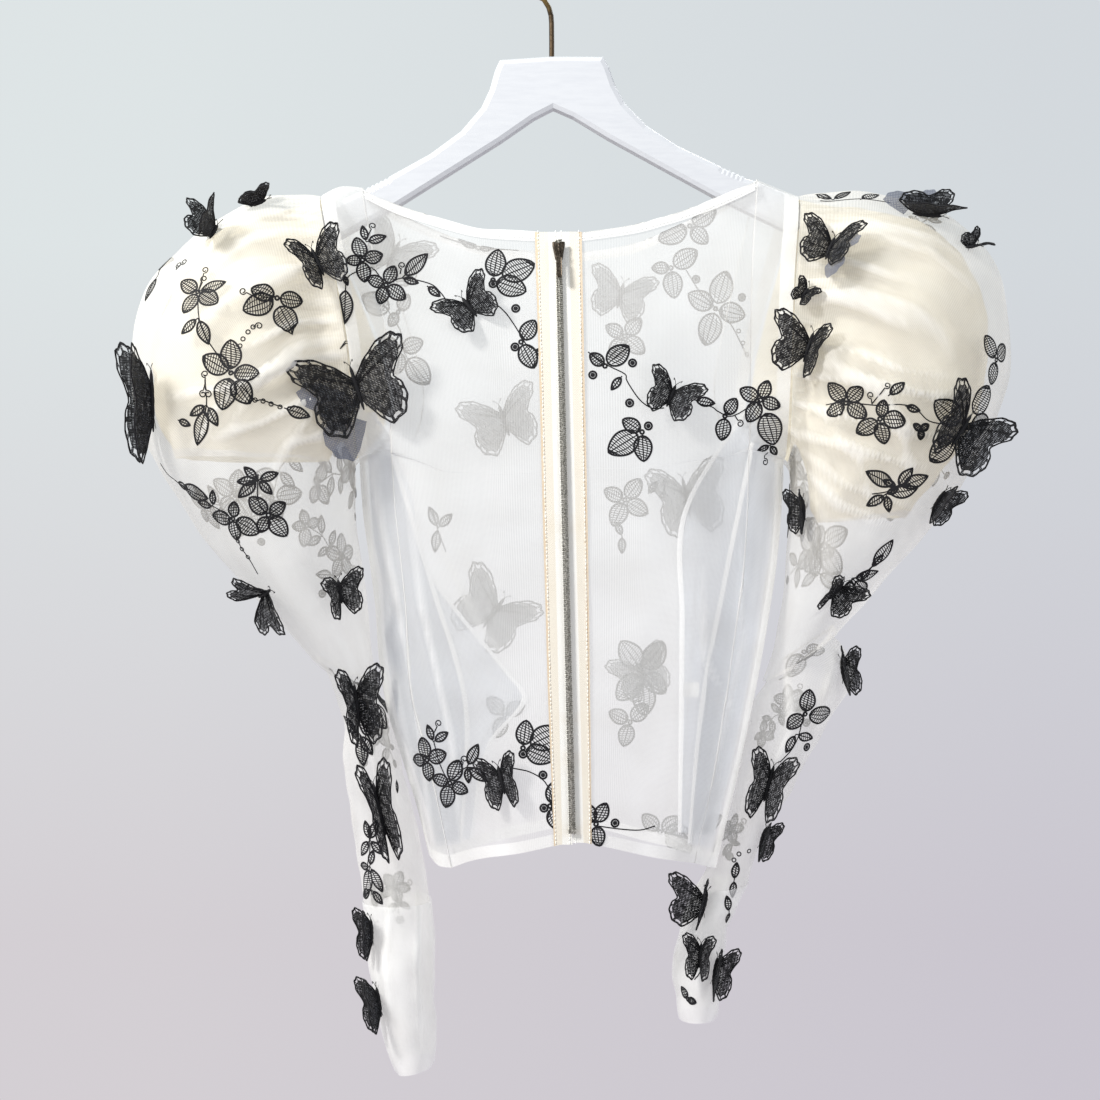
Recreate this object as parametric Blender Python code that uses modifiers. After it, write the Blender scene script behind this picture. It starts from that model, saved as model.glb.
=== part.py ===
"""Sheer blouse with lantern sleeves, hung on a painted wooden hanger.

Metres, +Z up.  The origin is the inside top of the hook, the place a rail
touches.  The back of the blouse, with its zip, faces -Y.  X runs across.
Heights on the cloth are given as a drop below the shoulder line.
"""
import math
from bisect import bisect_right
from collections import namedtuple

import bmesh
import bpy
from mathutils import Matrix, Vector
from mathutils.bvhtree import BVHTree

MM = 0.001
WALL = 1.2 * MM
TAPE = 1.0 * MM
GAP = 0.3 * MM
SEAM_Y = 0.15 * MM
SHOULDER_Z = -0.1934
EYE = Vector((-0.0008, -1.6, -0.4688))

HANGER_THICK = 0.012
HANGER_ROUND = 0.0045
HANGER_TILT = 0.030
HANGER_SHIFT = -0.002
HANGER_CLEAR = 0.0071
HANGER_DROP = 0.05
SEAM_REST = 0.7 * MM
HOOK_WIRE = 0.002
HOOK_INSIDE = 0.019

ARM_DROP_LEFT = 0.2075
ARM_DROP_RIGHT = 0.2090
ARM_DEPTH_BACK = 0.042
ARM_DEPTH_FRONT = 0.046
ARM_GAP = 1.2 * MM
UNDERARM_GAP = 2.0 * MM
LINING_IN = 2.6 * MM
LINING_OUT = 0.4 * MM
TUCK_IN = 3.0 * MM
TUCK_BACK = 4.0 * MM
TUCK_FORWARD = 4.0 * MM
PUFF_AROUND = 40
LOWER_AROUND = 20
LINING_AROUND = 24

ZIP_EDGE = 0.0085
CHAIN_HALF = 0.0029
CHAIN_THICK = 0.0022
CHAIN_BELOW = 0.0090
SLIDER_DROP = 0.010
SLIDER = (0.0096, 0.0155, 0.0022)
LUG = (0.0012, 0.0042, 0.0032)
LUG_OUT = 0.0024
HINGE_ALONG = 0.0010
HINGE_UP = 0.0037
PULL = (0.0042, 0.0180, 0.0012)
PULL_ALONG = 0.0135
PULL_NECK = (0.0022, 0.0050, 0.0009)
PULL_NECK_ALONG = 0.0032
BARREL_RADIUS = 0.0011
BARREL_LENGTH = 0.0030
TAG = (0.0135, 0.0110, 0.0010)
TAG_X = 0.1095
TAG_DROP = 0.3845
INNER_COLUMN = 0.0095

Finish = namedtuple("Finish", "start name colour roughness metallic")
FINISHES = [
    Finish("moth", "embroidery", (0.02, 0.02, 0.025), 0.60, 0.0),
    Finish("binding", "binding", (0.95, 0.95, 0.94), 0.60, 0.0),
    Finish("sleeve_lining", "lining", (0.90, 0.87, 0.78), 0.65, 0.0),
    Finish("zip_tape", "zip_tape", (0.93, 0.90, 0.84), 0.70, 0.0),
    Finish("zip", "zip_metal", (0.30, 0.28, 0.25), 0.35, 1.0),
    Finish("hanger", "hanger_paint", (0.92, 0.93, 0.95), 0.35, 0.0),
    Finish("hook", "hook_metal", (0.35, 0.28, 0.16), 0.25, 1.0),
    Finish("size_tag", "label", (0.95, 0.95, 0.95), 0.50, 0.0),
    Finish("", "organza", (0.93, 0.93, 0.92), 0.55, 0.0),
]

Body = namedtuple("Body", "drop left right back front zip")
BODY = [
    Body(-0.014, -0.1786, 0.1919, 0.0080, 0.0080, 0.0045),
    Body(0.000, -0.1786, 0.1919, 0.0105, 0.0105, 0.0050),
    Body(0.030, -0.1722, 0.1889, 0.0210, 0.0200, 0.0055),
    Body(0.065, -0.1646, 0.1852, 0.0310, 0.0340, 0.0062),
    Body(0.112, -0.1552, 0.1832, 0.0400, 0.0480, 0.0072),
    Body(0.156, -0.1513, 0.1820, 0.0445, 0.0560, 0.0082),
    Body(0.208, -0.1490, 0.1810, 0.0480, 0.0600, 0.0094),
    Body(0.268, -0.1443, 0.1778, 0.0500, 0.0590, 0.0108),
    Body(0.301, -0.1380, 0.1735, 0.0505, 0.0570, 0.0116),
    Body(0.352, -0.1350, 0.1655, 0.0510, 0.0540, 0.0128),
    Body(0.413, -0.1248, 0.1535, 0.0515, 0.0520, 0.0143),
    Body(0.437, -0.1162, 0.1488, 0.0515, 0.0515, 0.0149),
    Body(0.486, -0.1014, 0.1370, 0.0515, 0.0510, 0.0161),
    Body(0.530, -0.0910, 0.1270, 0.0510, 0.0505, 0.0170),
]

FrontArm = namedtuple("FrontArm", "part inset")
FRONT_ARM = [
    FrontArm(0.00, 0.000),
    FrontArm(0.18, 0.004),
    FrontArm(0.38, 0.012),
    FrontArm(0.58, 0.021),
    FrontArm(0.78, 0.026),
    FrontArm(0.92, 0.016),
    FrontArm(1.00, 0.000),
]

Neck = namedtuple("Neck", "x back front")
NECK = [
    Neck(-0.1455, -0.0040, -0.0040),
    Neck(-0.1190, 0.0086, 0.0120),
    Neck(-0.0554, 0.0280, 0.0350),
    Neck(0.0050, 0.0315, 0.0410),
    Neck(0.0538, 0.0273, 0.0370),
    Neck(0.1162, 0.0086, 0.0130),
    Neck(0.1590, -0.0105, -0.0105),
]

Seam = namedtuple("Seam", "x drop")
SHOULDER_LEFT = [
    Seam(-0.1786, 0.0000),
    Seam(-0.1640, -0.0070),
    Seam(-0.1470, -0.0062),
]
SHOULDER_RIGHT = [
    Seam(0.1605, -0.0120),
    Seam(0.1760, -0.0060),
    Seam(0.1919, 0.0000),
]

Hem = namedtuple("Hem", "x drop")
HEM = [
    Hem(-0.0944, 0.5125),
    Hem(-0.0830, 0.5200),
    Hem(-0.0593, 0.5115),
    Hem(-0.0240, 0.5040),
    Hem(0.0110, 0.4960),
    Hem(0.0265, 0.4976),
    Hem(0.0694, 0.5078),
    Hem(0.1084, 0.5156),
    Hem(0.1279, 0.5234),
]

BodyFold = namedtuple("BodyFold", "face x_top drop_top x_low drop_low width depth")
BODY_FOLDS = [
    BodyFold("back", -0.058, 0.385, -0.056, 0.520, 0.012, -0.0050),
    BodyFold("back", -0.108, 0.300, -0.086, 0.520, 0.009, 0.0035),
    BodyFold("back", 0.105, 0.330, 0.098, 0.520, 0.014, 0.0040),
    BodyFold("back", 0.060, 0.400, 0.062, 0.520, 0.013, -0.0030),
    BodyFold("front", -0.110, 0.200, -0.030, 0.400, 0.016, 0.0040),
    BodyFold("front", 0.120, 0.190, 0.100, 0.480, 0.016, 0.0040),
]

Ring = namedtuple("Ring", "top_x top_drop low_x low_drop y depth")
LEFT_RINGS = [
    Ring(-0.196, 0.001, -0.1545, 0.211, 0.004, 0.050),
    Ring(-0.226, 0.002, -0.1540, 0.221, 0.004, 0.062),
    Ring(-0.257, 0.017, -0.1530, 0.240, 0.004, 0.071),
    Ring(-0.290, 0.042, -0.1515, 0.260, 0.005, 0.077),
    Ring(-0.317, 0.073, -0.1490, 0.280, 0.006, 0.080),
    Ring(-0.327, 0.119, -0.1460, 0.303, 0.008, 0.080),
    Ring(-0.324, 0.170, -0.1445, 0.322, 0.010, 0.077),
    Ring(-0.307, 0.209, -0.1435, 0.340, 0.012, 0.071),
    Ring(-0.272, 0.264, -0.1415, 0.358, 0.015, 0.059),
    Ring(-0.225, 0.319, -0.1390, 0.373, 0.019, 0.048),
    Ring(-0.184, 0.364, -0.1350, 0.389, 0.022, 0.040),
    Ring(-0.165, 0.404, -0.1280, 0.410, 0.025, 0.035),
    Ring(-0.163, 0.450, -0.1190, 0.450, 0.027, 0.033),
    Ring(-0.155, 0.506, -0.1050, 0.506, 0.029, 0.033),
    Ring(-0.148, 0.553, -0.0970, 0.553, 0.029, 0.035),
    Ring(-0.144, 0.593, -0.0945, 0.593, 0.028, 0.037),
    Ring(-0.136, 0.640, -0.0940, 0.640, 0.027, 0.036),
    Ring(-0.122, 0.686, -0.0940, 0.680, 0.026, 0.032),
]
LEFT_SPLIT = 10
RIGHT_RINGS = [
    Ring(0.212, -0.001, 0.1870, 0.213, 0.004, 0.050),
    Ring(0.243, -0.003, 0.1875, 0.224, 0.004, 0.062),
    Ring(0.277, 0.003, 0.1875, 0.243, 0.004, 0.071),
    Ring(0.312, 0.016, 0.1870, 0.264, 0.005, 0.077),
    Ring(0.342, 0.045, 0.1855, 0.283, 0.006, 0.080),
    Ring(0.356, 0.091, 0.1840, 0.303, 0.008, 0.080),
    Ring(0.357, 0.138, 0.1825, 0.319, 0.010, 0.078),
    Ring(0.342, 0.185, 0.1805, 0.332, 0.013, 0.073),
    Ring(0.316, 0.232, 0.1785, 0.345, 0.017, 0.065),
    Ring(0.280, 0.277, 0.1760, 0.357, 0.022, 0.056),
    Ring(0.248, 0.315, 0.1725, 0.369, 0.027, 0.048),
    Ring(0.2255, 0.341, 0.1690, 0.380, 0.031, 0.042),
    Ring(0.2405, 0.374, 0.1610, 0.400, 0.036, 0.040),
    Ring(0.216, 0.419, 0.1530, 0.437, 0.040, 0.037),
    Ring(0.193, 0.461, 0.1440, 0.475, 0.042, 0.035),
    Ring(0.173, 0.498, 0.1330, 0.512, 0.045, 0.034),
    Ring(0.156, 0.539, 0.1190, 0.547, 0.046, 0.034),
    Ring(0.141, 0.576, 0.1070, 0.576, 0.046, 0.034),
    Ring(0.135, 0.612, 0.1000, 0.612, 0.045, 0.034),
    Ring(0.131, 0.647, 0.1040, 0.649, 0.044, 0.030),
]
RIGHT_SPLIT = 11
LEFT_LINING = [
    Ring(-0.202, 0.010, -0.163, 0.190, 0.004, 0.044),
    Ring(-0.232, 0.012, -0.166, 0.193, 0.004, 0.055),
    Ring(-0.260, 0.027, -0.168, 0.195, 0.004, 0.063),
    Ring(-0.286, 0.053, -0.170, 0.197, 0.004, 0.068),
    Ring(-0.306, 0.086, -0.171, 0.199, 0.005, 0.069),
    Ring(-0.313, 0.127, -0.172, 0.201, 0.006, 0.067),
    Ring(-0.309, 0.168, -0.173, 0.203, 0.007, 0.063),
    Ring(-0.295, 0.204, -0.175, 0.206, 0.008, 0.056),
]
RIGHT_LINING = [
    Ring(0.218, 0.009, 0.191, 0.190, 0.004, 0.044),
    Ring(0.248, 0.009, 0.195, 0.202, 0.004, 0.055),
    Ring(0.280, 0.015, 0.198, 0.213, 0.004, 0.063),
    Ring(0.308, 0.031, 0.200, 0.223, 0.004, 0.068),
    Ring(0.330, 0.059, 0.201, 0.231, 0.005, 0.069),
    Ring(0.342, 0.098, 0.202, 0.238, 0.006, 0.068),
    Ring(0.341, 0.141, 0.202, 0.243, 0.008, 0.066),
    Ring(0.329, 0.181, 0.203, 0.247, 0.010, 0.060),
    Ring(0.305, 0.220, 0.205, 0.250, 0.013, 0.051),
    Ring(0.277, 0.250, 0.208, 0.254, 0.016, 0.043),
]

Crease = namedtuple("Crease", "side turn drift width depth start end")
CREASES = [
    Crease("right", 118, -22, 9, -0.0050, 0.2, 8.0),
    Crease("right", 92, -12, 8, -0.0045, 0.2, 6.5),
    Crease("right", 60, -14, 8, -0.0040, 0.2, 5.5),
    Crease("right", 138, -10, 9, 0.0045, 0.5, 9.0),
    Crease("right", 30, -6, 8, -0.0035, 0.2, 5.0),
    Crease("right", 250, 10, 10, -0.0045, 0.2, 6.0),
    Crease("right", 300, 8, 10, -0.0045, 0.2, 6.0),
    Crease("left", 112, -18, 9, -0.0050, 0.2, 6.5),
    Crease("left", 84, -10, 8, -0.0045, 0.2, 5.5),
    Crease("left", 52, -8, 8, -0.0040, 0.2, 5.0),
    Crease("left", 136, -12, 9, 0.0040, 0.5, 7.0),
    Crease("left", 250, 10, 10, -0.0045, 0.2, 6.0),
    Crease("left", 300, 8, 10, -0.0045, 0.2, 6.0),
]
GATHERS = 10
GATHER_DEPTH = 0.0022
GATHER_END = 2.6

Moth = namedtuple("Moth", "name cloth far x drop turn long_a long_b chord lift_a lift_b")
MOTHS = [
    Moth("moth_crown_left", "sleeve_puff_left", 0, -0.262, 0.029, 8, 0.036, 0.030, 0.026, 68, 62),
    Moth("moth_top_left", "sleeve_puff_left", 0, -0.228, 0.007, 70, 0.018, 0.016, 0.026, 62, 40),
    Moth("moth_outer_left", "sleeve_puff_left", 0, -0.309, 0.160, 6, 0.034, 0.026, 0.090, 66, 58),
    Moth("moth_armhole_left", "back_left", 0, -0.151, 0.150, -18, 0.046, 0.050, 0.066, 24, 30),
    Moth("moth_gather_left", "sleeve_puff_left", 0, -0.182, 0.052, -24, 0.027, 0.024, 0.044, 36, 40),
    Moth("moth_elbow_left", "sleeve_puff_left", 0, -0.222, 0.308, 48, 0.036, 0.032, 0.044, 38, 42),
    Moth("moth_inner_left", "sleeve_puff_left", 0, -0.166, 0.308, -20, 0.020, 0.026, 0.036, 42, 34),
    Moth("moth_fore_left", "sleeve_lower_left", 0, -0.152, 0.396, -8, 0.026, 0.026, 0.062, 40, 56),
    Moth("moth_hip_left", "sleeve_lower_left", 0, -0.134, 0.478, -14, 0.020, 0.024, 0.080, 52, 60),
    Moth("moth_cuff_high_left", "cuff_left", 0, -0.138, 0.574, 0, 0.017, 0.015, 0.040, 58, 56),
    Moth("moth_cuff_left", "cuff_left", 0, -0.132, 0.628, -16, 0.024, 0.018, 0.044, 52, 50),
    Moth("moth_crown_right", "sleeve_puff_right", 0, 0.292, 0.016, 80, 0.026, 0.022, 0.046, 60, 40),
    Moth("moth_brow_right", "sleeve_puff_right", 0, 0.326, 0.040, 60, 0.015, 0.014, 0.024, 58, 42),
    Moth("moth_cap_right", "sleeve_puff_right", 0, 0.218, 0.042, 14, 0.030, 0.028, 0.040, 36, 38),
    Moth("moth_seam_right", "sleeve_puff_right", 0, 0.198, 0.076, 40, 0.013, 0.012, 0.018, 42, 42),
    Moth("moth_armhole_right", "sleeve_puff_right", 0, 0.201, 0.118, 20, 0.018, 0.034, 0.044, 44, 34),
    Moth("moth_outer_right", "sleeve_puff_right", 0, 0.318, 0.183, 38, 0.036, 0.034, 0.058, 26, 24),
    Moth("moth_rim_right", "sleeve_puff_right", 0, 0.300, 0.236, 20, 0.018, 0.016, 0.034, 54, 56),
    Moth("moth_under_right", "sleeve_puff_right", 0, 0.199, 0.245, 4, 0.014, 0.016, 0.034, 52, 48),
    Moth("moth_elbow_high_right", "sleeve_puff_right", 0, 0.222, 0.306, 26, 0.022, 0.020, 0.034, 42, 44),
    Moth("moth_elbow_right", "sleeve_lower_right", 0, 0.226, 0.372, 4, 0.017, 0.015, 0.038, 58, 56),
    Moth("moth_fore_right", "sleeve_lower_right", 0, 0.170, 0.458, 16, 0.025, 0.023, 0.056, 44, 46),
    Moth("moth_fore_low_right", "sleeve_lower_right", 0, 0.163, 0.500, 6, 0.014, 0.013, 0.034, 56, 56),
    Moth("moth_hem_right", "cuff_right", 0, 0.121, 0.553, 4, 0.016, 0.032, 0.040, 60, 44),
    Moth("moth_cuff_high_right", "cuff_right", 0, 0.117, 0.592, 4, 0.020, 0.018, 0.036, 50, 52),
    Moth("moth_cuff_right", "cuff_right", 0, 0.126, 0.604, 12, 0.018, 0.024, 0.042, 52, 48),
    Moth("moth_back_left", "back_left", 0, -0.063, 0.087, -38, 0.026, 0.026, 0.036, 26, 28),
    Moth("moth_back_right", "back_right", 0, 0.093, 0.156, 24, 0.024, 0.024, 0.034, 28, 26),
    Moth("moth_back_low", "back_left", 0, -0.038, 0.455, -14, 0.017, 0.018, 0.042, 30, 32),
    Moth("moth_front_high_left", "front", 1, -0.124, 0.046, 30, 0.030, 0.030, 0.046, 22, 22),
    Moth("moth_front_left", "front", 1, -0.036, 0.175, -20, 0.034, 0.034, 0.050, 22, 22),
    Moth("moth_front_high_right", "front", 1, 0.054, 0.078, 14, 0.028, 0.028, 0.040, 22, 22),
    Moth("moth_front_right", "front", 1, 0.105, 0.235, -12, 0.034, 0.034, 0.060, 22, 22),
    Moth("moth_front_low_left", "front", 1, -0.045, 0.325, 36, 0.038, 0.034, 0.056, 22, 22),
    Moth("moth_front_low_right", "front", 1, 0.070, 0.372, -24, 0.026, 0.026, 0.040, 22, 22),
]
MOTH_THICK = 1.0 * MM

Wing = namedtuple("Wing", "out along")
WING = [
    Wing(0.00, 0.22),
    Wing(0.34, 0.66),
    Wing(0.74, 0.98),
    Wing(1.00, 0.90),
    Wing(0.98, 0.56),
    Wing(0.72, 0.10),
    Wing(0.84, -0.26),
    Wing(0.76, -0.74),
    Wing(0.46, -0.98),
    Wing(0.22, -0.66),
    Wing(0.00, -0.22),
]

Hole = namedtuple("Hole", "moth wing out along radius")
HOLES = [
    Hole("moth_armhole_left", 1, 0.78, 0.66, 0.0033),
    Hole("moth_armhole_left", 1, 0.58, 0.50, 0.0030),
    Hole("moth_elbow_left", 0, 0.76, 0.70, 0.0026),
    Hole("moth_elbow_left", 0, 0.58, -0.52, 0.0024),
    Hole("moth_cuff_high_right", 0, 0.68, 0.62, 0.0023),
    Hole("moth_cuff_right", 1, 0.70, 0.64, 0.0023),
]


def clear_scene():
    for item in list(bpy.data.objects):
        bpy.data.objects.remove(item, do_unlink=True)


def column(rows, key, field, at):
    """Smooth value of one named column at a place along the key column."""
    keys = [getattr(row, key) for row in rows]
    values = [getattr(row, field) for row in rows]
    at = min(max(at, keys[0]), keys[-1])
    i = min(max(bisect_right(keys, at) - 1, 0), len(keys) - 2)
    step = keys[i + 1] - keys[i]
    part = (at - keys[i]) / step
    slope_a = slope(keys, values, i) * step
    slope_b = slope(keys, values, i + 1) * step
    square = part * part
    cube = square * part
    return (
        (2 * cube - 3 * square + 1) * values[i]
        + (cube - 2 * square + part) * slope_a
        + (3 * square - 2 * cube) * values[i + 1]
        + (cube - square) * slope_b
    )


def slope(keys, values, i):
    low = max(i - 1, 0)
    high = min(i + 1, len(keys) - 1)
    return (values[high] - values[low]) / (keys[high] - keys[low])


def at_drop(x, y, drop):
    return Vector((x, y, SHOULDER_Z - drop))


def link(name, mesh):
    item = bpy.data.objects.new(name, mesh)
    bpy.context.scene.collection.objects.link(item)
    return item


def grid_mesh(name, grid, closed, cores):
    """Open surface through a grid of points, facing away from its cores."""
    width = len(grid[0])
    steps = width if closed else width - 1
    faces = []
    for r in range(len(grid) - 1):
        for c in range(steps):
            d = (c + 1) % width
            faces.append((r * width + c, r * width + d, (r + 1) * width + d, (r + 1) * width + c))
    points = [point for row in grid for point in row]
    if facing(points, faces, width, cores) < 0:
        faces = [tuple(reversed(face)) for face in faces]
    mesh = bpy.data.meshes.new(name)
    mesh.from_pydata([tuple(point) for point in points], [], faces)
    mesh.update()
    return mesh


def facing(points, faces, width, cores):
    total = 0.0
    for face in faces:
        a, b, c, d = (points[i] for i in face)
        middle = (a + b + c + d) / 4
        normal = (c - a).cross(d - b)
        total += normal.dot(middle - cores[face[0] // width])
    return total


def thicken(item, depth):
    wall = item.modifiers.new("wall", "SOLIDIFY")
    wall.thickness = depth
    wall.offset = 1.0
    return item


def cloth(name, grid, closed, cores, depth=WALL):
    return thicken(link(name, grid_mesh(name, grid, closed, cores)), depth)


def flat_cores(grid):
    """Cores for a body panel: the same row, on the middle plane."""
    cores = []
    for row in grid:
        middle = sum(row, Vector()) / len(row)
        cores.append(Vector((middle.x, 0.0, middle.z)))
    return cores


def ring_cores(grid):
    return [sum(row, Vector()) / len(row) for row in grid]


def out_points(item, width, depth):
    """Grid points of a sheet moved out along its vertex normals."""
    moved = [v.co + v.normal * depth for v in item.data.vertices]
    return [moved[i:i + width] for i in range(0, len(moved), width)]


# Hanger and hook.

HANGER_TOP = [
    (0.0, -0.0842),
    (0.0404, -0.0858),
    (0.0445, -0.0940),
    (0.0490, -0.1085),
    (0.0560, -0.1225),
    (0.0725, -0.1405),
    (0.0967, -0.1572),
    (0.1250, -0.1720),
    (0.1560, -0.1863),
    (0.1800, -0.1970),
    (0.1890, -0.2030),
    (0.1925, -0.2110),
    (0.1915, -0.2210),
    (0.1860, -0.2275),
    (0.1780, -0.2270),
]
HANGER_UNDER = [(0.1233, -0.1987), (0.0420, -0.1510), (0.0150, -0.1335)]
NOTCH_START = 0.1290
NOTCH_PITCH = 0.0034
NOTCH_DEPTH = 0.0011
NOTCHES = 6


def top_edge(x):
    """Height of the straight-hung hanger's top edge at a distance out."""
    for (x0, z0), (x1, z1) in zip(HANGER_TOP, HANGER_TOP[1:]):
        if x0 <= x <= x1:
            return z0 + (z1 - z0) * (x - x0) / (x1 - x0)
    return HANGER_TOP[10][1]


def tilted(x, z):
    x += HANGER_SHIFT
    turn_c = math.cos(HANGER_TILT)
    turn_s = math.sin(HANGER_TILT)
    return x * turn_c - z * turn_s, x * turn_s + z * turn_c


def hanger_rest(x):
    """Drop of the hanging hanger's top edge under a given x."""
    side = 1.0 if x > 0 else -1.0
    best = None
    for i in range(240):
        out = 0.1 + i * 0.0004
        px, pz = tilted(side * out, top_edge(out))
        if best is None or abs(px - x) < abs(best[0] - x):
            best = (px, pz)
    return SHOULDER_Z - best[1]


def half_outline():
    points = []
    for x, z in HANGER_TOP:
        if points and points[-1][0] < NOTCH_START < x:
            points.extend(notch_points())
        if not NOTCH_START - 0.006 < x < NOTCH_START + NOTCHES * NOTCH_PITCH:
            points.append((x, z))
    return points + HANGER_UNDER


def notch_points():
    points = []
    for i in range(NOTCHES):
        x = NOTCH_START + i * NOTCH_PITCH
        points.append((x, top_edge(x)))
        points.append((x + NOTCH_PITCH * 0.45, top_edge(x + NOTCH_PITCH * 0.45) - NOTCH_DEPTH))
    return points


def build_hanger():
    right = half_outline()
    left = [(-x, z) for x, z in reversed(right[1:])]
    outline = right + [(0.0, -0.1264)] + left
    shape = bpy.data.curves.new("hanger", "CURVE")
    shape.dimensions = "2D"
    shape.fill_mode = "BOTH"
    shape.extrude = HANGER_THICK / 2 - HANGER_ROUND
    shape.bevel_depth = HANGER_ROUND
    shape.bevel_resolution = 1
    shape.offset = -HANGER_ROUND
    shape.render_resolution_u = 0
    line = shape.splines.new("POLY")
    line.points.add(len(outline) - 1)
    for point, (x, z) in zip(line.points, outline):
        tx, tz = tilted(x, z)
        point.co = (tx, tz, 0.0, 1.0)
    line.use_cyclic_u = True
    return mesh_from_curve("hanger", shape, Matrix.Rotation(math.pi / 2, 4, "X"))


def mesh_from_curve(name, shape, placing):
    holder = bpy.data.objects.new(name + "_line", shape)
    bpy.context.scene.collection.objects.link(holder)
    graph = bpy.context.evaluated_depsgraph_get()
    mesh = bpy.data.meshes.new_from_object(holder.evaluated_get(graph))
    bpy.data.objects.remove(holder, do_unlink=True)
    mesh.name = name
    mesh.transform(placing)
    weld(mesh)
    return link(name, mesh)


def weld(mesh):
    work = bmesh.new()
    work.from_mesh(mesh)
    bmesh.ops.remove_doubles(work, verts=work.verts, dist=1e-6)
    bmesh.ops.recalc_face_normals(work, faces=work.faces)
    work.to_mesh(mesh)
    work.free()


def hook_path():
    stem_x, stem_z = tilted(0.0, top_edge(0.0))
    points = [(stem_x, stem_z + GAP), (stem_x, stem_z + 0.012), (0.0004, -0.0580), (0.0, -0.0520)]
    points.append((-0.0018, -0.0455))
    reach = HOOK_INSIDE + HOOK_WIRE
    for turn in range(254, -46, -15):
        angle = math.radians(turn)
        points.append((reach * math.cos(angle), reach * math.sin(angle) - HOOK_INSIDE))
    return points


def build_hook():
    shape = bpy.data.curves.new("hook", "CURVE")
    shape.dimensions = "3D"
    shape.bevel_depth = HOOK_WIRE
    shape.bevel_resolution = 2
    shape.use_fill_caps = True
    shape.render_resolution_u = 0
    path = hook_path()
    line = shape.splines.new("POLY")
    line.points.add(len(path) - 1)
    for point, (x, z) in zip(line.points, path):
        point.co = (x, 0.0, z, 1.0)
    return mesh_from_curve("hook", shape, Matrix.Identity(4))


# Body panels.  A column is a share of the way from the side to the zip.

ARM_TURNS = [0.0, 9.7, 22.5, 40.0, 60.0, 80.0, 100.0, 120.0, 140.0, 160.0, 180.0]
SIDE_STEPS = 8
SHARES_IN = [0.28, 0.42, 0.56, 0.70, 0.84]


def arm_drop(side):
    return ARM_DROP_LEFT if side < 0 else ARM_DROP_RIGHT


def side_x(side, drop):
    return column(BODY, "drop", "left" if side < 0 else "right", drop)


def zip_x(drop):
    return column(BODY, "drop", "zip", drop)


def hem_drop(x):
    return column(HEM, "x", "drop", x)


def side_rows(side):
    """Side-edge rows of a panel: (drop, turn round the armhole or None)."""
    reach = arm_drop(side)
    rows = [(reach * (1 - math.cos(math.radians(t))) / 2, t) for t in ARM_TURNS]
    hem = hem_drop(-1.0 if side < 0 else 1.0)
    for i in range(1, SIDE_STEPS + 1):
        rows.append((reach + (hem - reach) * i / SIDE_STEPS, None))
    return rows


def armhole(side, face, turn):
    """Point of the armhole edge at a turn: 0 shoulder, 180 underarm."""
    angle = math.radians(turn)
    part = (1 - math.cos(angle)) / 2
    drop = arm_drop(side) * part
    x = side_x(side, drop)
    if face > 0:
        x -= side * column(FRONT_ARM, "part", "inset", part)
    depth = ARM_DEPTH_FRONT if face > 0 else ARM_DEPTH_BACK
    return at_drop(x, face * max(SEAM_Y, depth * math.sin(angle)), drop)


def shoulder_drop(side, x):
    rows = SHOULDER_LEFT if side < 0 else SHOULDER_RIGHT
    return min(column(rows, "x", "drop", x), hanger_rest(x) - SEAM_REST)


def top_points(side, face, end_x):
    """Columns of the panel's top edge: shoulder seam, neck corner, neckline."""
    rows = SHOULDER_LEFT if side < 0 else list(reversed(SHOULDER_RIGHT))
    points = [(row.x, shoulder_drop(side, row.x)) for row in rows]
    neck = NECK[0].x if side < 0 else NECK[-1].x
    points.append((neck, neck_drop(face, neck)))
    for share in SHARES_IN[:-1]:
        x = neck + (end_x - neck) * (share - 0.14) / 0.86
        points.append((x, neck_drop(face, x)))
    return points


def neck_drop(face, x):
    drop = column(NECK, "x", "front" if face > 0 else "back", x)
    if abs(x) > 0.14:
        drop = min(drop, hanger_rest(x) + 0.0012)
    return drop


def bulge(share):
    """How much of the middle depth a panel has, side to middle."""
    return (1 - (1 - share) ** 2) ** 0.62


def fold_lift(face, x, drop):
    lift = 0.0
    wanted = "front" if face > 0 else "back"
    for fold in BODY_FOLDS:
        if fold.face != wanted or drop < fold.drop_top:
            continue
        part = min((drop - fold.drop_top) / (fold.drop_low - fold.drop_top), 1.0)
        middle = fold.x_top + (fold.x_low - fold.x_top) * part
        lift += fold.depth * part ** 0.6 * math.exp(-(((x - middle) / fold.width) ** 2))
    return lift


def panel_depth(face, share, edge, x, drop):
    """Distance of a panel point from the middle plane."""
    middle = column(BODY, "drop", "front" if face > 0 else "back", drop)
    rise = bulge(share)
    depth = middle * rise + edge * (1 - share) ** 6 + fold_lift(face, x, drop) * rise
    return max(depth, HANGER_CLEAR) if drop < HANGER_DROP else depth


def panel_grid(side, face, middle_x):
    """Grid of one half panel; middle_x gives its inner edge at a drop."""
    tops = top_points(side, face, middle_x(0.03))
    span = middle_x(0.03) - tops[0][0]
    shares = [(x - tops[0][0]) / span for x, _ in tops]
    shares += [1 - INNER_COLUMN / abs(span), 1.0]
    rows = side_rows(side)
    full = rows[-1][0]
    grid = []
    for r, (edge_drop, turn) in enumerate(rows):
        if turn is None:
            edge = at_drop(side_x(side, edge_drop), face * SEAM_Y, edge_drop)
        else:
            edge = armhole(side, face, turn)
        line = []
        for c, share in enumerate(shares):
            line.append(panel_point(face, middle_x, tops, share, c, edge, edge_drop / full, r))
        grid.append(line)
    return grid


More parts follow.
